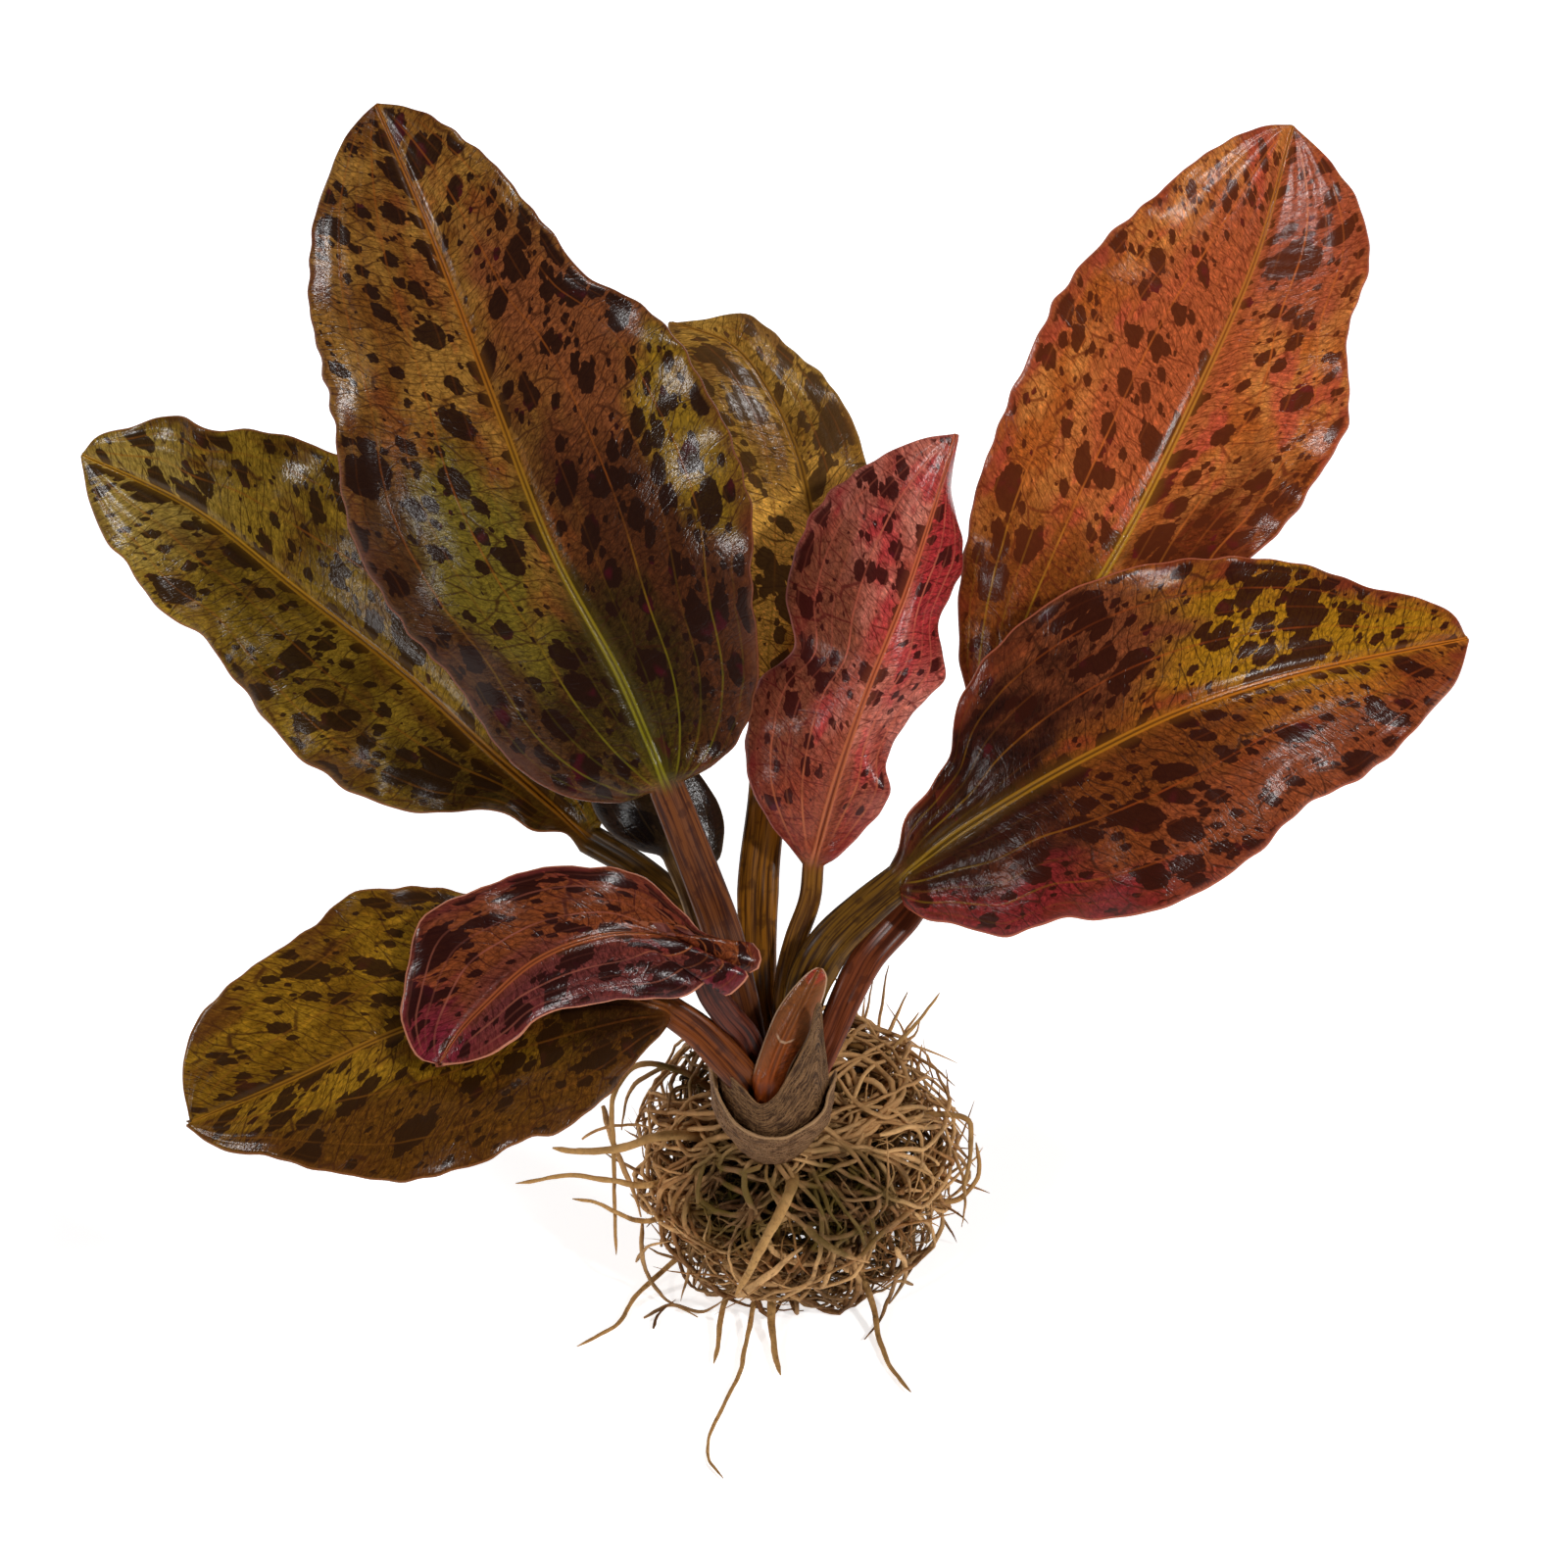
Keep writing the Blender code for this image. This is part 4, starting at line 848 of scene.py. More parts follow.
def leaf_finish(name, look):
    """A leaf's skin: mottled ground, veins, blotches, throat, rim, paler underside and stalk."""
    leaf = Finish(name)
    seed = look["seed"]
    across, along, upper = leaf.parts(leaf.mark("leaf_place"))
    out, blade, width = leaf.parts(leaf.mark("leaf_share"))
    off_rib = abs(across)
    reach = abs(out)
    near_rim = width * (1.0 - reach)
    on_blade = blade.rise(0.0, 0.05)
    slow = leaf.mottle(along / 9.0, across / 9.0, seed, 1.0) - 0.5
    slant = along - CROSS_VEIN_RISE * off_rib + slow * 5.0

    # The ground: two browns, a blush, zones of other colours (one of them painted light) and the throat's
    # streaks.
    broad = leaf.mottle(along / 15.0, across / 9.0, seed + 9.0, 3.0, 0.6)
    patches = leaf.mottle(along / 17.0, across / 8.0, seed + 17.0, 3.0, 0.62)
    colour = leaf.mix(broad.rise(0.36, 0.62), look["dark"], look["light"])
    ground = [(patches.rise(0.5, 0.64) * look["blush_share"], look["blush"])]
    for zone_across, zone_blade, zone_wide, zone_long, zone_colour in look["zones"]:
        distance = ((out - zone_across) / zone_wide) ** 2 + ((blade - zone_blade) / zone_long) ** 2
        ground.append(((distance + (patches - 0.5) * 2.4).rise(1.25, 0.25), zone_colour))
    streaks = leaf.mottle(out * 9.0, along / 40.0, seed + 3.0)
    flare = along.rise(34.0, 2.0) * streaks.rise(0.38, 0.56) * (off_rib / 16.0).rise(1.0, 0.2)
    colour = leaf.cover(colour, *ground, (flare * look["throat_share"], look["throat"]))
    grain = leaf.mottle(slant / 0.75, across / 1.2, seed, 3.0, 0.75)
    colour = leaf.mix(grain.rise(0.5, 0.68), colour, GRAIN_LIGHT, "MULTIPLY")
    colour = leaf.mix(grain.rise(0.5, 0.34), colour, GRAIN_DARK, "MULTIPLY")

    # Fine veins, the darker margin and the blotches.
    net_line = leaf.net(slant, across / 1.6).rise(0.12, 0.02)
    comb = leaf.mottle(slant / 0.62, off_rib / 14.0, seed + 70.0, 1.5)
    comb_line = comb.rise(0.54, 0.62) * reach.rise(0.35, 0.7) * patches.rise(0.42, 0.58)
    cross_line = leaf.net(slant / 3.0, across / 9.5).rise(0.05, 0.012)
    edge_shade = near_rim.rise(5.5, 0.4) * patches.rise(0.4, 0.6)
    fade = leaf.mottle(along / 6.0, across / 6.0, seed + 60.0)
    spot_colour = leaf.mix(fade.rise(0.6, 0.72), look["spot"], look["spot_blush"])
    spotted = blotches(leaf, along, across, seed, look["spots"])
    spotted = spotted * near_rim.rise(0.5, 1.4) * blade.rise(0.0, 0.06)

    # Side veins, midrib, the scar across the shoot and the thin pale rim.
    side_line = blade * 0.0
    for vein, strength in zip(SIDE_VEINS, VEIN_STRENGTHS):
        side_line = side_line.most(abs(off_rib - vein * width).rise(0.27, 0.06) * strength)
    side_strength = fade.rise(0.35, 0.6, 0.35, 0.9) * width.rise(3.0, 9.0) * look["side_veins"]
    side_colour = leaf.mix(blade.rise(0.42, 0.1), look["side_vein"], look["rib_foot"])
    rib_colour = leaf.mix(blade.rise(0.05, 0.7), look["rib_foot"], look["rib_tip"])
    beside_rib = off_rib / (1.0 - 0.55 * blade)
    on_rib = beside_rib.rise(0.95, 0.6)
    scar = abs(along - look["collar"] - off_rib * off_rib * 0.3).rise(0.32, 0.12)
    scar = scar * off_rib.rise(1.9, 1.3)
    rim = near_rim.rise(0.34, 0.14) * on_blade

    # The stalk and the underside.
    fibres = leaf.mottle(across / 0.5, along / 14.0, seed + 5.0, 2.0, 0.6)
    stains = leaf.mottle(across / 2.2, along / 3.0, seed + 6.0, 3.0)
    stalk = leaf.mix(fibres.rise(0.36, 0.62), look["stalk_dark"], look["stalk_light"])
    stalk = leaf.mix(stains.rise(0.54, 0.66) * 0.6, stalk, look["stalk_dark"])
    below = upper.rise(0.45, 0.2) * blade.rise(0.0, 0.06)
    under = leaf.mix(spotted * 0.45, look["under"], look["spot_blush"])
    under = leaf.mix(on_rib.most(side_line) * 0.6, under, rib_colour)

    colour = leaf.cover(
        colour,
        (net_line * 0.4, look["spot"]),
        (comb_line * 0.4, look["vein"]),
        (cross_line * 0.7, look["vein"]),
        (edge_shade * 0.55, look["edge"]),
        (spotted * 0.95, spot_colour),
        (side_line * side_strength, side_colour),
        (beside_rib.rise(3.4, 0.9) * 0.14, rib_colour),
        (on_rib * 0.92, rib_colour),
        (beside_rib.rise(0.36, 0.12) * 0.6, look["vein"]),
        (rim.most(scar) * 0.8, look["rim"]),
        (along.rise(3.0, -2.0), stalk),
        (below * 0.8, under),
    )
    crinkle = leaf.mottle(slant / 0.42, across / 0.7, seed + 2.0, 2.5, 0.6)
    dents = crinkle * 0.8 - net_line * 0.12 - cross_line * 0.2 - comb_line * 0.15 + side_line * 0.2
    leaf.relief(dents * on_blade + fibres * 0.3 * (1.0 - on_blade), 0.06)
    roughness = 0.19 + (crinkle - 0.5) * 0.08 + below * 0.25 + (1.0 - on_blade) * 0.1
    return leaf.surface(colour, roughness, specular_ior_level=LEAF_GLOSS)


# ---------------------------------------------------------------- leaf colours
# The looks that most leaves share: colours as 0 to 255 values, and shares.
USUAL_LOOK = dict(
    light=(140, 96, 42), dark=(100, 58, 22), blush=(110, 50, 26), blush_share=0.6, zones=(),
    throat=(112, 110, 24), throat_share=0.5, vein=(48, 22, 10), side_vein=(132, 74, 30), side_veins=0.6,
    edge=(84, 40, 24), spot=(32, 14, 8), spot_blush=(60, 12, 20), spots=0.5, rib_foot=(150, 132, 32),
    rib_tip=(176, 98, 30), rim=(150, 92, 64), under=(108, 74, 50), collar=-1000.0,
    stalk_light=(112, 62, 30), stalk_dark=(60, 28, 18),
)

# Each leaf's seed and slot, and where it differs from the usual look. Zones are (across, along,
# half width, half length, colour).
LEAF_LOOKS = {
    "leaf_upper_left": dict(
        seed=1, slot="leaf_brown", light=(144, 102, 42), dark=(102, 62, 20), blush=(110, 50, 24),
        throat=(82, 68, 12), throat_share=0.4, rib_foot=(122, 112, 20), rim=(118, 66, 44),
        rib_tip=(150, 86, 24), side_vein=(140, 72, 22),
        zones=(
            (0.55, 0.22, 0.75, 0.42, (66, 34, 16)), (-0.8, 0.25, 0.5, 0.35, (66, 40, 18)),
            (0.0, 0.12, 0.6, 0.2, (46, 32, 10)), (0.6, 0.6, 0.5, 0.2, (112, 62, 32)),
            (0.9, 0.42, 0.35, 0.14, (122, 92, 22)), (-0.4, 0.36, 0.35, 0.16, (98, 82, 24)),
        ),
    ),
    "leaf_far_left": dict(
        seed=2, slot="leaf_olive", light=(138, 108, 30), dark=(98, 73, 15), blush=(90, 52, 18),
        throat=(82, 64, 12), spot=(44, 25, 9), spot_blush=(58, 26, 16), edge=(84, 46, 16),
        rib_foot=(148, 92, 18), rib_tip=(172, 122, 26), side_vein=(138, 78, 20), rim=(140, 84, 44),
        stalk_light=(84, 56, 16), stalk_dark=(40, 25, 10),
        zones=(
            (-0.2, 0.92, 1.0, 0.22, (146, 120, 52)), (-0.5, 0.0, 0.9, 0.3, (60, 42, 12)),
        ),
    ),
    "leaf_back": dict(
        seed=3, slot="leaf_olive", light=(172, 130, 54), dark=(136, 96, 34), blush=(128, 82, 42),
        spot=(78, 52, 26), spot_blush=(84, 52, 32), edge=(112, 74, 36), rib_foot=(142, 106, 26),
        rib_tip=(156, 106, 36), rim=(150, 112, 62), stalk_light=(142, 88, 22), stalk_dark=(68, 38, 12),
        zones=(
            # Painted light: a paler foot of the blade, where it lies in shade between the leaves.
            (0.0, 0.15, 1.4, 0.4, (226, 168, 72)),
        ),
    ),
    "leaf_middle_red": dict(
        seed=4, slot="leaf_red", light=(196, 116, 98), dark=(152, 66, 52), blush=(172, 48, 52),
        blush_share=0.85, throat=(150, 72, 50), spot=(58, 18, 15), spot_blush=(78, 16, 28), spots=0.38,
        vein=(84, 20, 20), side_vein=(186, 92, 70), edge=(118, 36, 34), rib_foot=(180, 98, 60),
        rib_tip=(190, 94, 58), side_veins=1.0, rim=(168, 92, 80), under=(120, 84, 76),
        stalk_light=(136, 88, 30), stalk_dark=(78, 44, 16),
        zones=(
            (-0.7, 0.35, 0.5, 0.4, (124, 66, 46)), (0.6, 0.75, 0.6, 0.35, (158, 44, 46)),
            (0.0, 0.04, 1.2, 0.26, (130, 56, 38)),
        ),
    ),
    "leaf_upper_right": dict(
        seed=5, slot="leaf_orange", light=(198, 122, 58), dark=(164, 84, 32), blush=(182, 72, 52),
        blush_share=0.8, throat=(142, 90, 18), spot=(82, 34, 14), spot_blush=(98, 28, 24), spots=0.46,
        vein=(104, 40, 18), side_vein=(196, 98, 40), edge=(140, 56, 34), rib_foot=(190, 148, 34),
        rib_tip=(184, 110, 42), side_veins=0.8, rim=(168, 96, 76), under=(140, 92, 64),
        stalk_light=(112, 54, 28), stalk_dark=(70, 30, 16),
        zones=(
            (-0.4, 0.12, 0.8, 0.25, (128, 66, 22)), (0.7, 0.2, 0.7, 0.3, (98, 42, 16)),
            (-0.2, 0.6, 0.5, 0.3, (170, 82, 44)), (0.4, 0.85, 0.7, 0.2, (160, 76, 46)),
        ),
    ),
    "leaf_right": dict(
        seed=6, slot="leaf_orange", light=(158, 92, 28), dark=(124, 62, 20), blush=(120, 47, 24),
        blush_share=0.8, throat=(78, 48, 16), throat_share=0.3, spot=(48, 17, 8),
        spot_blush=(66, 16, 18), spots=0.5, side_vein=(152, 66, 22), side_veins=0.6, edge=(116, 44, 26),
        rib_foot=(132, 98, 22), rib_tip=(190, 108, 26), rim=(170, 92, 66), stalk_light=(104, 70, 18),
        stalk_dark=(50, 28, 10),
        zones=(
            (-0.4, 0.72, 0.55, 0.34, (156, 108, 18)), (-0.6, 0.38, 0.5, 0.2, (110, 56, 30)),
            (0.4, 0.35, 0.6, 0.25, (104, 52, 18)), (0.75, 0.6, 0.4, 0.4, (128, 62, 32)),
            (0.5, 0.02, 0.9, 0.3, (66, 28, 18)), (-0.5, 0.04, 1.1, 0.36, (36, 14, 9)),
            (0.95, 0.2, 0.4, 0.26, (114, 32, 32)),
        ),
    ),
    "leaf_lower_left": dict(
        seed=7, slot="leaf_olive", light=(140, 102, 22), dark=(96, 64, 10), blush=(84, 44, 16),
        throat=(80, 50, 16), spot=(44, 24, 8), spot_blush=(58, 26, 14), edge=(84, 44, 16),
        rib_foot=(124, 68, 26), rib_tip=(146, 98, 26), side_vein=(120, 72, 20), rim=(132, 82, 44),
        stalk_light=(116, 58, 20), stalk_dark=(62, 27, 12),
        zones=(
            (0.0, 0.0, 1.5, 0.38, (36, 18, 6)), (-0.8, 0.5, 0.4, 0.5, (86, 52, 12)),
        ),
    ),
    "leaf_curled_red": dict(
        seed=8, slot="leaf_red", light=(118, 58, 36), dark=(80, 32, 26), blush=(96, 24, 38),
        blush_share=0.85, throat=(130, 56, 34), spot=(38, 12, 9), spot_blush=(52, 12, 20), spots=0.6,
        vein=(52, 16, 14), side_vein=(140, 76, 60), edge=(106, 38, 38), rib_foot=(160, 88, 44),
        rib_tip=(150, 76, 40), side_veins=0.9, rim=(196, 126, 96), under=(110, 58, 50),
        stalk_light=(92, 42, 26), stalk_dark=(44, 18, 14),
        zones=(
            (0.45, 0.35, 0.6, 0.55, (112, 56, 26)), (-0.5, 0.6, 0.7, 0.5, (90, 40, 38)),
            (0.3, 0.98, 1.4, 0.16, (106, 30, 42)),
        ),
    ),
    # This leaf's blade colours are painted shade: it is made near black where it lies in shadow behind
    # the upper left leaf.
    "leaf_small_dark": dict(
        seed=9, slot="leaf_dark", light=(40, 26, 14), dark=(26, 15, 8), blush=(42, 22, 15),
        throat=(44, 32, 16), spot=(18, 10, 7), spot_blush=(24, 12, 10), vein=(22, 14, 9),
        side_vein=(50, 34, 20), edge=(38, 24, 16), rib_foot=(60, 44, 22), rib_tip=(54, 38, 20),
        rim=(66, 48, 30), under=(48, 36, 26), stalk_light=(120, 90, 52), stalk_dark=(72, 48, 26),
    ),
    "young_shoot": dict(
        seed=10, slot="shoot", collar=7.5, light=(102, 60, 27), dark=(74, 37, 15), blush=(94, 42, 20),
        throat=(150, 72, 28), spot=(74, 38, 22), spot_blush=(86, 38, 24), spots=0.0, vein=(76, 40, 22),
        edge=(150, 96, 60), rib_foot=(146, 70, 26), rib_tip=(132, 76, 38), side_veins=0.3,
        rim=(186, 150, 118), under=(124, 70, 38), stalk_light=(156, 72, 24), stalk_dark=(104, 44, 18),
        zones=(
            (0.2, 1.0, 2.2, 0.16, (150, 40, 40)), (0.0, 0.1, 1.5, 0.35, (122, 53, 15)),
            (-0.9, 0.25, 0.6, 0.3, (84, 40, 36)),
        ),
    ),
}


def leaf_look(name):
    """A leaf's colours, ready for the shader, and its shares."""
    look = {**USUAL_LOOK, **LEAF_LOOKS[name]}
    look["zones"] = [(*place, shade(*colour)) for *place, colour in look["zones"]]
    return {part: shade(*value) if isinstance(value, tuple) else value for part, value in look.items()}


# ---------------------------------------------------------------- root strands
def strand_tree():
    """Geometry Nodes that skin lines of points as round, crooked roots."""
    tree = bpy.data.node_groups.new("root_strands", "GeometryNodeTree")
    tree.interface.new_socket("Lines", in_out="INPUT", socket_type="NodeSocketGeometry")
    tree.interface.new_socket("Skins", in_out="OUTPUT", socket_type="NodeSocketGeometry")
    for label, kind, usual in (
        ("Piece Length", "NodeSocketFloat", 1.6 * MM),
        ("Crookedness", "NodeSocketFloat", 0.8 * MM),
        ("Bends per Metre", "NodeSocketFloat", 140.0),
        ("Knobbliness", "NodeSocketFloat", 0.5),
        ("Sides", "NodeSocketInt", 6),
        ("Seed", "NodeSocketFloat", 0.0),
        ("Finish", "NodeSocketMaterial", None),
    ):
        tree.interface.new_socket(label, in_out="INPUT", socket_type=kind).default_value = usual
    graph = Graph(tree)
    given = tree.nodes.new("NodeGroupInput").outputs
    asked = {socket.name: socket for socket in given}
    line = graph.add("GeometryNodeMeshToCurve", {"Mesh": asked["Lines"]})
    line = graph.add("GeometryNodeCurveSplineType", {"Curve": line}, spline_type="CATMULL_ROM")
    line = graph.add(
        "GeometryNodeResampleCurve", {"Curve": line, "Length": asked["Piece Length"]}, mode="LENGTH"
    )
    spot = graph.add("GeometryNodeInputPosition")
    drawn = {"noise_dimensions": "4D"}
    crook = {"Vector": spot, "W": asked["Seed"], "Scale": asked["Bends per Metre"], "Detail": 2.0}
    push = graph.add("ShaderNodeTexNoise", crook, "Color", **drawn)
    push = graph.add("ShaderNodeVectorMath", {0: push, 1: (0.5, 0.5, 0.5)}, operation="SUBTRACT")
    push = graph.add("ShaderNodeVectorMath", {0: push, "Scale": asked["Crookedness"]}, operation="SCALE")
    line = graph.add("GeometryNodeSetPosition", {"Geometry": line, "Offset": push})
    radius = graph.add("GeometryNodeInputNamedAttribute", {"Name": "radius"}, data_type="FLOAT")
    x, y, z = graph.parts(spot)
    lying = graph.vector(x, y, z.most(radius * FLOOR_CLEARANCE))
    line = graph.add("GeometryNodeSetPosition", {"Geometry": line, "Position": lying})
    run = graph.add("GeometryNodeSplineParameter", output="Length")
    line = graph.add(
        "GeometryNodeStoreNamedAttribute", {"Geometry": line, "Name": "run", "Value": run}, domain="POINT"
    )
    knobs = {"Vector": spot, "W": asked["Seed"], "Scale": 420.0, "Detail": 1.0}
    knob = graph.add("ShaderNodeTexNoise", knobs, "Fac", **drawn)
    uneven = 1.0 + (knob - 0.5) * Number(graph, asked["Knobbliness"])
    ring = graph.add("GeometryNodeCurvePrimitiveCircle", {"Resolution": asked["Sides"], "Radius": 1.0})
    skin = {"Curve": line, "Profile Curve": ring, "Scale": radius * uneven, "Fill Caps": True}
    skins = graph.add("GeometryNodeCurveToMesh", skin)
    skins = graph.add("GeometryNodeSetShadeSmooth", {"Geometry": skins})
    skins = graph.add("GeometryNodeRealizeInstances", {"Geometry": skins})
    skins = graph.add("GeometryNodeSetMaterial", {"Geometry": skins, "Material": asked["Finish"]})
    tree.links.new(skins, tree.nodes.new("NodeGroupOutput").inputs[0])
    return tree


def add_strands(name, tree, strands, finish, **sizes):
    """One piece of many roots. Each strand is its points in millimetres, their radii and a tone."""
    points = np.concatenate([strand[0] for strand in strands]) * MM
    radii = np.concatenate([strand[1] for strand in strands]) * MM
    tones = np.concatenate([np.full(len(strand[0]), strand[2]) for strand in strands])
    edges = []
    first = 0
    for strand in strands:
        last = first + len(strand[0]) - 1
        edges += [(place, place + 1) for place in range(first, last)]
        first = last + 1
    mesh = bpy.data.meshes.new(name)
    mesh.from_pydata(points.tolist(), edges, [])
    for mark, values in (("radius", radii), ("tone", tones)):
        mesh.attributes.new(mark, "FLOAT", "POINT").data.foreach_set("value", values.astype(np.float32))
    made = bpy.data.objects.new(name, mesh)
    bpy.context.scene.collection.objects.link(made)
    skinned = made.modifiers.new("strands", "NODES")
    skinned.node_group = tree
    for socket in tree.interface.items_tree:
        if socket.in_out == "INPUT" and socket.name in sizes:
            skinned[socket.identifier] = sizes[socket.name]
        if socket.name == "Finish":
            skinned[socket.identifier] = finish
    whole = made.evaluated_get(bpy.context.evaluated_depsgraph_get())
    plain = bpy.data.meshes.new_from_object(whole)
    made.modifiers.clear()
    made.data = plain
    plain.name = name
    return made


def crown_way():
    """The direction from the middle of the root ball to the crown."""
    return unit(np.array(CROWN_FOOT) + (0.0, 3.0, 8.0) - (0.0, 0.0, BALL_MIDDLE))


def ball_dent(direction):
    """The share by which the crown presses the root ball in, along a unit direction."""
    angle = math.degrees(math.acos(float(np.clip(direction @ crown_way(), -1.0, 1.0))))
    return BALL_DENT_DEPTH * math.cos(math.radians(90.0 * min(angle / BALL_DENT_ANGLE, 1.0)))


def ball_point(direction, depth):
    """A point of the root ball, along a unit direction, at a share of its depth from the middle."""
    x, y, z = direction
    size = (1.0 - ball_dent(direction)) * depth
    across = max(math.hypot(x, y), 0.01)
    fuller = across**-BALL_FULLNESS if z < 0 else 1.0
    return np.array([
        BALL_RADIUS_X * size * fuller * x,
        BALL_RADIUS_Y * size * fuller * y,
        BALL_MIDDLE + BALL_RADIUS_Z * size * z,
    ])


def wind(draw, direction, heading, depths, curl):
    """Points on a bending way round the ball, one for each share of its depth."""
    turn = math.radians(draw.gauss(0.0, curl))
    step = math.radians(ROOT_STEP)
    points = []
    for depth in depths:
        points.append(ball_point(direction, depth))
        heading = unit(heading - direction * (heading @ direction))
        heading = heading * math.cos(turn) + np.cross(direction, heading) * math.sin(turn)
        direction = unit(direction * math.cos(step) + heading * math.sin(step))
        turn += math.radians(draw.gauss(0.0, 0.7 * curl))
    return points


def root_thickness(draw, points, radius):
    """A root's points, kept off the floor, and its radius at each: thinner at both ends."""
    thick = draw.uniform(*radius)
    shares = np.linspace(0.0, 1.0, len(points))
    points[:, 2] = np.maximum(points[:, 2], thick + FLOOR_GAP)
    return points, thick * np.interp(shares, *ROOT_TAPER)


def tangled_root(draw, depths, arc, radius, curl=7.0):
    """A root that winds through the ball, between two shares of its depth."""
    direction = unit(np.array([draw.gauss(0.0, 1.0), draw.gauss(0.0, 1.0), draw.gauss(-0.45, 1.0)]))
    heading = np.array([draw.gauss(0.0, 1.0) for _ in range(3)])
    count = max(4, round(draw.uniform(*arc) / ROOT_STEP))
    shares = np.linspace(0.0, 1.0, count)
    waves = 0.09 * np.sin(math.tau * (draw.random() + draw.uniform(0.6, 1.8) * shares))
    inner = np.interp(shares, (0.0, 1.0), (draw.uniform(*depths), draw.uniform(*depths))) + waves
    points = wind(draw, direction, heading, np.minimum(inner, depths[1]), curl)
    return root_thickness(draw, np.array(points), radius)


def crown_root(draw, arc, radius, curl):
    """A root that springs from the stem, all round its foot, and winds down over the ball."""
    around = math.radians(draw.gauss(90.0, CROWN_ROOT_SPREAD))
    outwards = np.array((math.cos(around), math.sin(around), 0.0))
    behind = math.sin(around) > 0.25
    front_rise, front_sway = FRONT_ROOT_RISE
    height = draw.uniform(0.0, CROWN_ROOT_RISE if behind else front_rise + math.sin(around) * front_sway)
    beside = np.interp(height, *zip(*SHEATH_PROFILE)) + (0.6 if behind else 1.6) + draw.random()
    start = crown_place(outwards * 1.5 + (0.0, 0.0, height))
    leaving = crown_place(outwards * beside + (0.0, 0.0, height - draw.uniform(0.2, 1.6)))
    reached = (leaving - (0.0, 0.0, BALL_MIDDLE)) / (BALL_RADIUS_X, BALL_RADIUS_Y, BALL_RADIUS_Z)
    depth = np.linalg.norm(reached) / (1.0 - ball_dent(unit(reached)))
    heading = outwards + np.array([draw.gauss(0.0, 0.7) for _ in range(3)])
    count = max(5, round(draw.uniform(*arc) / ROOT_STEP))
    settled = draw.uniform(0.84, 0.97)
    depths = np.interp(range(count), (0, 2 + 2 * draw.random()), (depth, settled))
    points = np.array([start, *wind(draw, unit(reached), heading, depths, curl)])
    return root_thickness(draw, points, radius)


def free_end(draw, reach, radius):
    """A root that leaves the ball at a slant and ends in the open, in a point."""
    direction = crown_way()
    while direction @ crown_way() > CROWN_CLEARANCE:
        direction = unit(np.array([draw.gauss(0.0, 1.0), draw.gauss(0.0, 1.0), draw.gauss(0.0, 0.8)]))
    lean = np.array([draw.gauss(0.0, 1.0) for _ in range(3)])
    lean = unit(lean - direction * (lean @ direction))
    slant = draw.uniform(0.4, 1.3)
    shares = np.linspace(0.0, 1.0, 8)
    depths = FREE_END_DEPTH + (draw.uniform(*reach) - FREE_END_DEPTH) * shares**1.4
    ways = [unit(direction + lean * slant * (share - FREE_END_DEPTH)) for share in shares]
    points = np.array([ball_point(way, depth) for way, depth in zip(ways, depths)])
    thick = draw.uniform(*radius)
    points[:, 2] = np.maximum(points[:, 2], thick + FLOOR_GAP)
    return points, thick * np.interp(shares, *FREE_END_TAPER)


# ---------------------------------------------------------------- crown and old sheaths
def crown_place(points):
    """Points from the crown's own axes, brought to the plant's."""
    lean = -math.radians(CROWN_LEAN)
    turn = np.array([
        (1.0, 0.0, 0.0),
        (0.0, math.cos(lean), -math.sin(lean)),
        (0.0, math.sin(lean), math.cos(lean)),
    ])
    return points @ turn.T + CROWN_FOOT


def add_sheath(name, edge, gap, foot, seed, finish):
    """A dead leaf base round the crown: a thin, fibrous, folded shell with a ragged top."""
    edge = np.array(edge, float)
    first, last = edge[0, 0], edge[-1, 0]
    angle = np.linspace(first, last, round((last - first) / SHEATH_TURN) + 1)
    top = smooth_values(angle, edge[:, 0], edge[:, 1:])
    angle = angle[:, None]
    top = top + 0.12 * wander(angle / 50.0, seed) + 0.02 * wander(angle / 6.0, seed + 1)
    share = np.linspace(0.0, 1.0, SHEATH_ROWS)[None, :]
    rise = foot + (top - foot) * share
    opened = 0.25 + 0.75 * np.clip(rise / SHEATH_OPENING, 0.0, 1.0) ** 1.5
    radius = np.interp(rise, *zip(*SHEATH_PROFILE)) + gap * opened
    strands = 0.13 * np.abs(wander(share * 11.0 + angle / 46.0, seed + 2))
    ridges = 0.1 * np.abs(wander(angle / 3.6 + rise / 30.0, seed + 4)) + strands
    ridges = ridges * (1.0 - share**6)
    folds = SHEATH_FOLDS * share * wander(angle / 60.0 + rise / 16.0, seed + 3)
    flare = SHEATH_FLARE * share**8
    rim = SHEATH_THICK * (1.0 - 0.35 * share**6)
    outside = radius + rim + ridges + folds + flare
    inside = radius + folds + flare
    turn = np.radians(angle)
    faces = [
        np.stack([surface * np.cos(turn), surface * np.sin(turn), rise], axis=-1)
        for surface in (outside, inside)
    ]
    rings = np.concatenate([faces[0], faces[1][:, ::-1]], axis=1)
    arc = turn * SHEATH_RADIUS + 0.0 * share
    outer_marks = np.stack([arc, rise, share + 0.0 * arc], axis=-1)
    marks = np.concatenate([outer_marks, outer_marks[:, ::-1]], axis=1)
    count, around = rings.shape[:2]
    points = crown_place(rings.reshape(-1, 3))
    made = add_mesh(name, points, tube_faces(count, around), finish, [("sheath_place", marks)])
    turn_outwards(made)
    return made


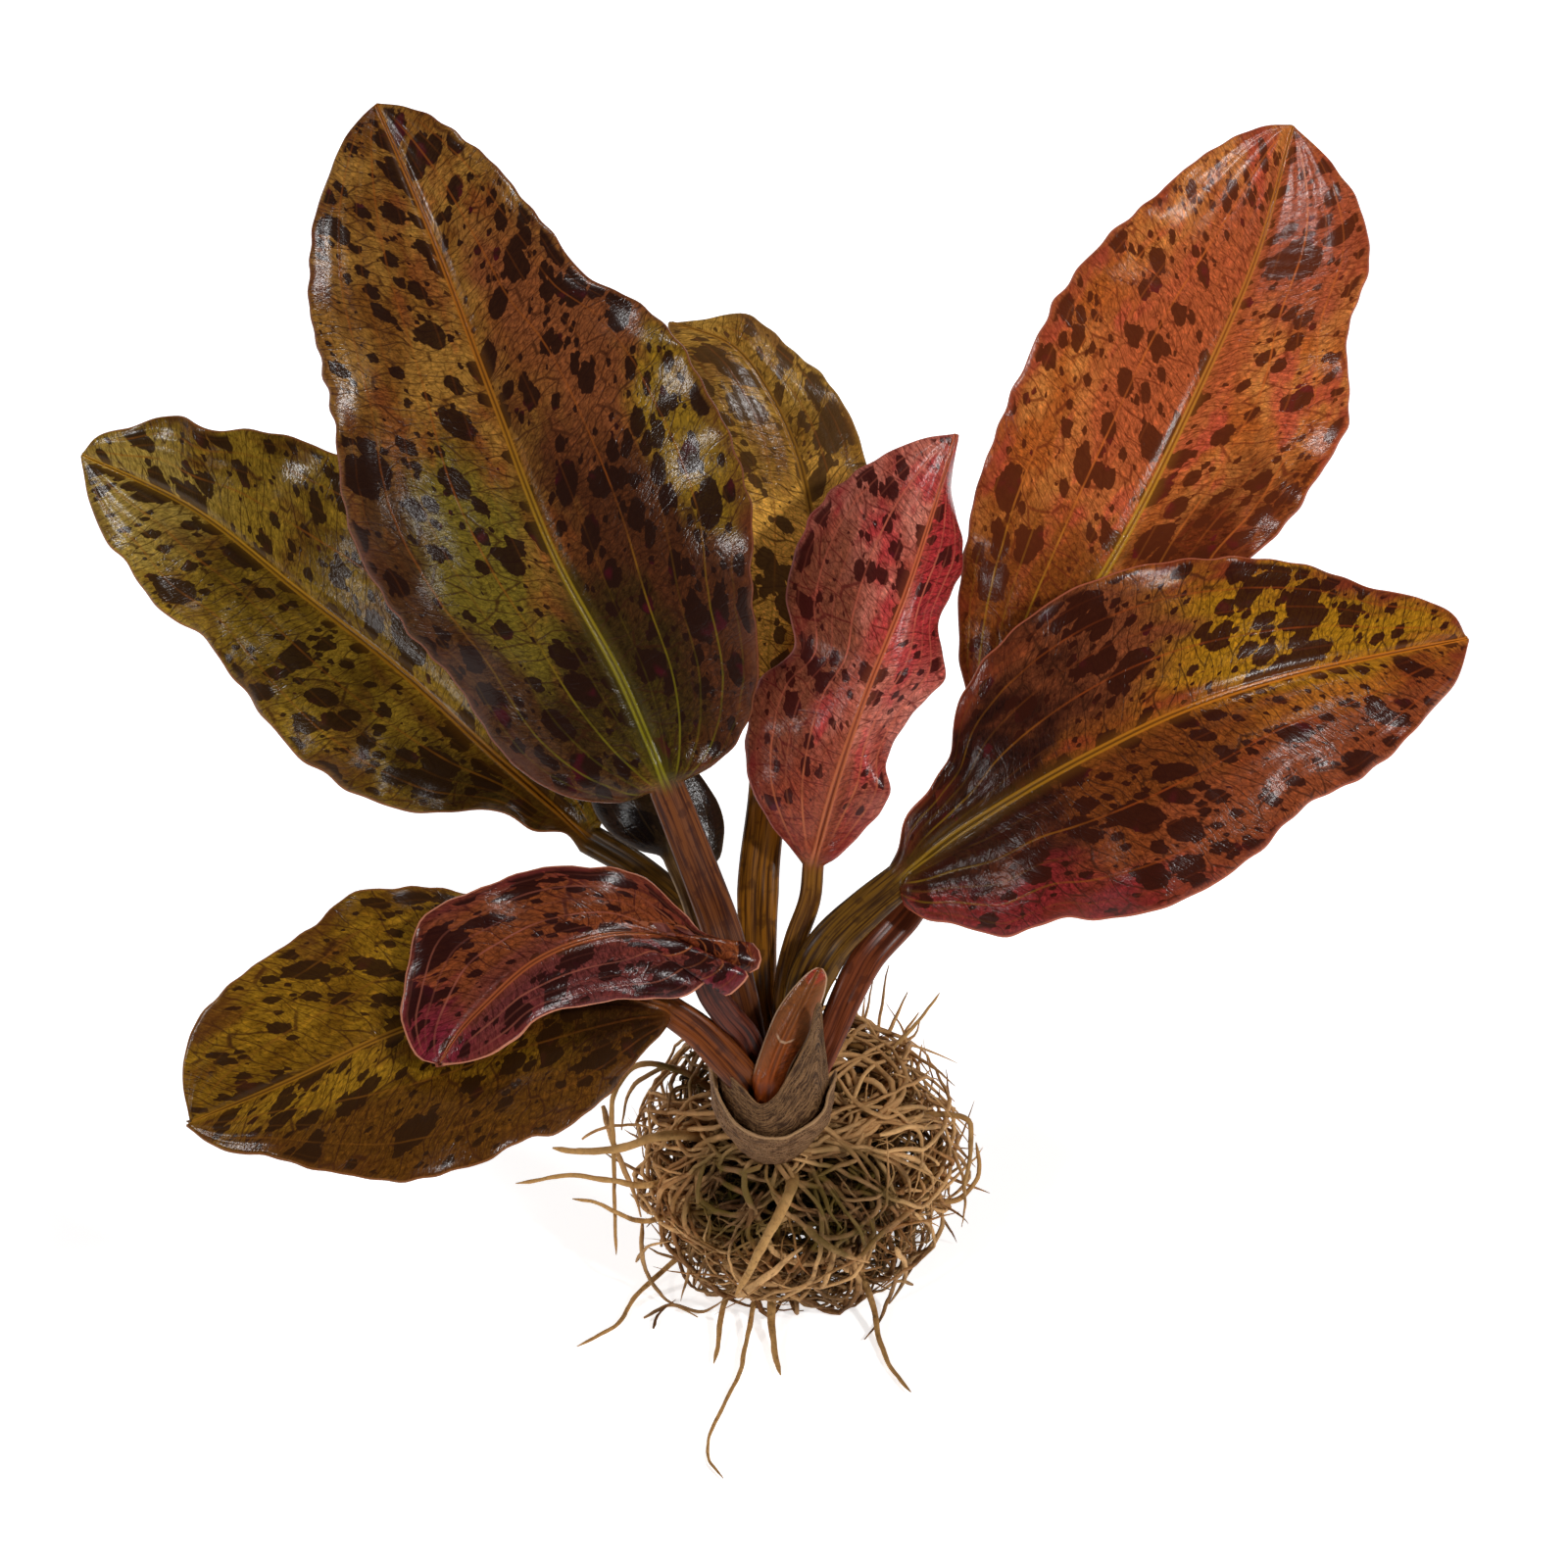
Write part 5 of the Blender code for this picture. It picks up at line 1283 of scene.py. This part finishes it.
def sheath_finish(name, light, dark, rim, rim_start):
    """Dead leaf base: loose brown fibres that follow its edge, old cells, and a pale torn edge."""
    sheath = Finish(name)
    arc, rise, share = sheath.parts(sheath.mark("sheath_place"))
    rise_left = rise * (1.0 - share) / share.most(0.2)
    bend = sheath.mottle(arc / 4.0, rise / 4.0, 2.0) - 0.5
    fibres = sheath.mottle(share * 34.0 + bend * 3.5, arc / 2.4, 0.0, 4.0, 0.72)
    upright = sheath.mottle(arc / 0.3, rise / 5.0, 9.0, 3.0, 0.6)
    stains = sheath.mottle(arc / 2.6, rise / 2.6, 5.0, 3.0, 0.6)
    threads = sheath.net(arc / 0.6, rise / 0.75).rise(0.16, 0.04) * stains.rise(0.6, 0.45)
    torn = (rim_start - rise_left + (fibres - 0.5) * 0.5).rise(0.0, 0.5)
    colour = sheath.cover(
        sheath.mix(fibres.rise(0.4, 0.62), dark, light),
        (upright.rise(0.5, 0.66) * 0.4, dark),
        (stains.rise(0.5, 0.68) * 0.5, shade(44, 26, 14)),
        (threads * 0.35, rim),
        (torn * 0.8, rim),
    )
    sheath.relief(fibres * 0.7 + threads * 0.3, 0.35)
    return sheath.surface(colour, 0.6 + (upright - 0.5) * 0.3, specular_ior_level=0.12)


def crown_finish(name):
    """The hard stem: brown, with rings of old leaf scars and fine fibres."""
    crown = Finish(name)
    x, y, z = crown.parts(crown.own_place())
    rings = crown.mottle(x / 9.0, y / 9.0, z / 0.9, 3.0)
    fibres = crown.mottle(x / 0.4, y / 0.4, z / 5.0, 3.0, 0.6)
    colour = crown.mix(fibres.rise(0.38, 0.62), shade(52, 32, 20), shade(112, 76, 44))
    colour = crown.mix(rings.rise(0.54, 0.64) * 0.6, colour, shade(40, 25, 16))
    crown.relief(rings * 0.6 + fibres * 0.4, 0.4)
    return crown.surface(colour, 0.7 + (fibres - 0.5) * 0.3)


# ---------------------------------------------------------------- roots
def root_finish(name, pale, mid, dark, moss_share, painted_low_shade=0.5):
    """Root skin: pale to brown by strand, streaked along its run, mossy in places, with painted light up
    high and painted shade inside the ball and low down.
    """
    root = Finish(name)
    tone = root.amount("tone")
    run = root.amount("run") / MM
    here = root.own_place()
    x, y, z = root.parts(here)
    stains = root.noise(here, 0.11, detail=3.0, roughness=0.6)
    flecks = root.noise(here, 1.6, detail=3.0, roughness=0.65)
    bands = root.mottle(run / 3.5, tone * 90.0, 0.0, 3.0, 0.6)
    out_x, out_y, out_z = x / BALL_RADIUS_X, y / BALL_RADIUS_Y, (z - BALL_MIDDLE) / BALL_RADIUS_Z
    # How deep inside the ball a point is, for the painted shade there.
    inside = (out_x ** 2 + out_y ** 2 + out_z ** 2).rise(0.7, 0.25)
    mossy = x * 0.0
    for moss_x, moss_y, moss_z, size in MOSS_PLACES:
        apart = (x - moss_x) ** 2 + (y - moss_y) ** 2 + (z - moss_z) ** 2
        mossy = mossy.most((apart ** 0.5).rise(1.3 * size, 0.4 * size))
    moss = root.noise(here, 0.16, detail=2.5).rise(0.42, 0.56) * (mossy * 0.65 + moss_share)
    colour = root.cover(
        root.mix((tone + (bands - 0.5) * 0.9).rise(0.1, 0.9), pale, mid),
        (stains.rise(0.5, 0.66) * 0.6, dark),
        (flecks.rise(0.5, 0.7) * 0.5, dark),
        (flecks.rise(0.46, 0.3) * 0.35, pale),
        # Painted light: paler towards the top of the ball. Painted shade: darker towards the floor and
        # deep inside the ball.
        (z.rise(20.0, 40.0) * 0.5, pale),
        (z.rise(18.0, 4.0) * painted_low_shade, dark),
        (inside * 0.65, dark),
        (mossy * 0.65, dark),
        (moss, shade(84, 70, 16)),
    )
    root.relief(flecks, 0.22)
    return root.surface(colour, 0.62 + (bands - 0.5) * 0.3, specular_ior_level=0.15)


def outside_root(radius, points):
    """A root on the outside of the ball, thinner towards its end."""
    count = 4 * len(points)
    shares = np.linspace(0.0, 1.0, count)
    line = smooth_line(np.array(points, float) @ board_axes().T, shares)
    return line, radius * np.interp(shares, *OUTSIDE_TAPER)


def add_root_tangle(tree):
    """The root ball: roots from the crown, winding roots, free ends, a core of darker roots painted as
    shade deep in the ball, and fine rootlets.
    """
    draw = random.Random(41)
    straw = root_finish("straw_root", shade(216, 168, 112), shade(152, 102, 56), shade(66, 38, 17), 0.1)
    # The core's darker browns are painted shade deep in the ball.
    brown = root_finish("shaded_core_root", shade(130, 88, 44), shade(84, 53, 22), shade(26, 15, 6), 0.3)
    fine = root_finish("fine_root", shade(198, 152, 98), shade(148, 102, 56), shade(78, 50, 25), 0.2)
    for name, finish, count, grow, shape in (
        ("root_tangle_crown", straw, CROWN_ROOTS, crown_root, CROWN_ROOT_SHAPE),
        ("root_tangle_outer", straw, OUTER_ROOTS, tangled_root, OUTER_ROOT_SHAPE),
        ("root_tangle_core", brown, INNER_ROOTS, tangled_root, INNER_ROOT_SHAPE),
    ):
        strands = [(*grow(draw, *shape), draw.random()) for _ in range(count)]
        sizes = {
            "Seed": float(count),
            "Crookedness": 2.6 * MM,
            "Bends per Metre": 210.0,
            "Piece Length": 1.3 * MM,
        }
        settle(add_strands(name, tree, strands, finish, **sizes), ["root_ball"])
    ends = [(*free_end(draw, (0.94, 1.22), (0.24, 0.5)), draw.random() * 0.8) for _ in range(FREE_ENDS)]
    ends += [(*outside_root(*root), draw.random() * 0.7) for root in OUTSIDE_ROOTS]
    sizes = {"Crookedness": 1.8 * MM, "Piece Length": 1.0 * MM}
    settle(add_strands("root_tangle_ends", tree, ends, straw, **sizes), ["root_ball"])
    hairs = [(*free_end(draw, (0.85, 1.06), (0.09, 0.24)), draw.random()) for _ in range(LOOSE_HAIRS)]
    for _ in range(WINDING_HAIRS):
        hairs.append((*tangled_root(draw, (0.6, 0.94), (20.0, 60.0), (0.1, 0.2)), draw.random()))
    sizes = {"Sides": 4, "Crookedness": 4.0 * MM, "Piece Length": 1.8 * MM}
    settle(add_strands("root_tangle_fine", tree, hairs, fine, **sizes), ["root_ball"])


def add_loose_roots(tree):
    """The roots that leave the ball, each in place of its own node."""
    colours = shade(196, 152, 94), shade(148, 102, 52), shade(84, 54, 26)
    finish = root_finish("loose_root", *colours, 0.05, painted_low_shade=0.0)
    for name, (radius, points) in ROOTS.items():
        points = np.array([points[0], *points], float)
        points[0] += (np.array((0.0, 0.0, BALL_MIDDLE)) - points[0]) * ROOT_BURIED
        points[:, 2] = np.maximum(points[:, 2], radius + FLOOR_GAP)
        count = 4 * len(points)
        line = smooth_line(points, np.linspace(0.0, 1.0, count))
        radii = radius * (1.0 - ROOT_END_TAPER * np.linspace(0.0, 1.0, count))
        radii[-1] *= 0.3
        sizes = {"Sides": 10, "Crookedness": 1.1 * MM, "Piece Length": 0.8 * MM, "Knobbliness": 0.5}
        piece = add_strands(name + "_skin", tree, [(line, radii, 0.45)], finish, **sizes)
        settle(piece, [name])


# ---------------------------------------------------------------- surroundings
def add_camera():
    """The photograph's view: square to the board, from above and in front."""
    axes = board_axes()
    camera = bpy.data.objects.new("camera", bpy.data.cameras.new("camera"))
    camera.data.lens = CAMERA_LENS
    camera.data.sensor_width = CAMERA_SENSOR
    place = axes @ np.array(CAMERA_TARGET) + axes[:, 2] * CAMERA_DISTANCE
    camera.matrix_world = Matrix.Translation(Vector(place * MM)) @ Matrix(axes.tolist()).to_4x4()
    bpy.context.scene.collection.objects.link(camera)
    bpy.context.scene.camera = camera


def add_softbox(name, azimuth, elevation, size, watts):
    """A square soft light aimed at the plant. Azimuth 0 is the front, 90 the right side."""
    light = bpy.data.lights.new(name, "AREA")
    light.shape = "SQUARE"
    light.size = size
    light.energy = watts
    box = bpy.data.objects.new(name, light)
    turn, lift = math.radians(azimuth), math.radians(elevation)
    way = Vector((math.sin(turn) * math.cos(lift), -math.cos(turn) * math.cos(lift), math.sin(lift)))
    place = Vector(PLANT_MIDDLE) + way * LIGHT_DISTANCE
    box.matrix_world = Matrix.Translation(place) @ way.to_track_quat("Z", "Y").to_matrix().to_4x4()
    bpy.context.scene.collection.objects.link(box)


def add_room():
    """Surroundings that are white near the horizon and dimmer overhead."""
    world = bpy.data.worlds.new("white_room")
    world.use_nodes = True
    bpy.context.scene.world = world
    room = Graph(world.node_tree)
    way = room.add("ShaderNodeTexCoord", output="Generated")
    height = room.add("ShaderNodeSeparateXYZ", {"Vector": way}, "Z")
    background = world.node_tree.nodes["Background"]
    background.inputs["Color"].default_value = (1.0, 1.0, 1.0, 1.0)
    room.put(background.inputs["Strength"], height.rise(0.02, 0.14, HORIZON_LIGHT, OVERHEAD_LIGHT))


def add_surroundings():
    """A white floor, a white room and four softboxes."""
    floor_finish = Finish("white_floor")
    floor_finish.surface(shade(245, 245, 245), 0.9, emission_color=(1.0, 1.0, 1.0, 1.0))
    floor_finish.shader.inputs["Emission Strength"].default_value = FLOOR_GLOW
    half = FLOOR_SIZE / 2
    corners = [(-half, -half, 0.0), (half, -half, 0.0), (half, half, 0.0), (-half, half, 0.0)]
    add_mesh("floor", corners, [(0, 1, 2, 3)], floor_finish.material)
    add_room()
    bpy.context.scene.view_settings.view_transform = "Standard"
    for light in SOFTBOXES:
        add_softbox(*light)


def main():
    for name, leaf in {**LEAVES, "young_shoot": YOUNG_SHOOT}.items():
        look = leaf_look(name)
        skin = add_leaf(name + "_skin", leaf, leaf_finish(name, look), look["seed"])
        settle(skin, [name])
    for look, name, *shape, colours, rim_start in OLD_SHEATHS:
        finish = sheath_finish(look, *[shade(*colour) for colour in colours], rim_start)
        settle(add_sheath(name + "_skin", *shape, finish), [name])
    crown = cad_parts["crown"]
    crown.data.materials.clear()
    crown.data.materials.append(crown_finish("crown_stem"))
    tree = strand_tree()
    add_root_tangle(tree)
    add_loose_roots(tree)
    add_surroundings()
    add_camera()


main()
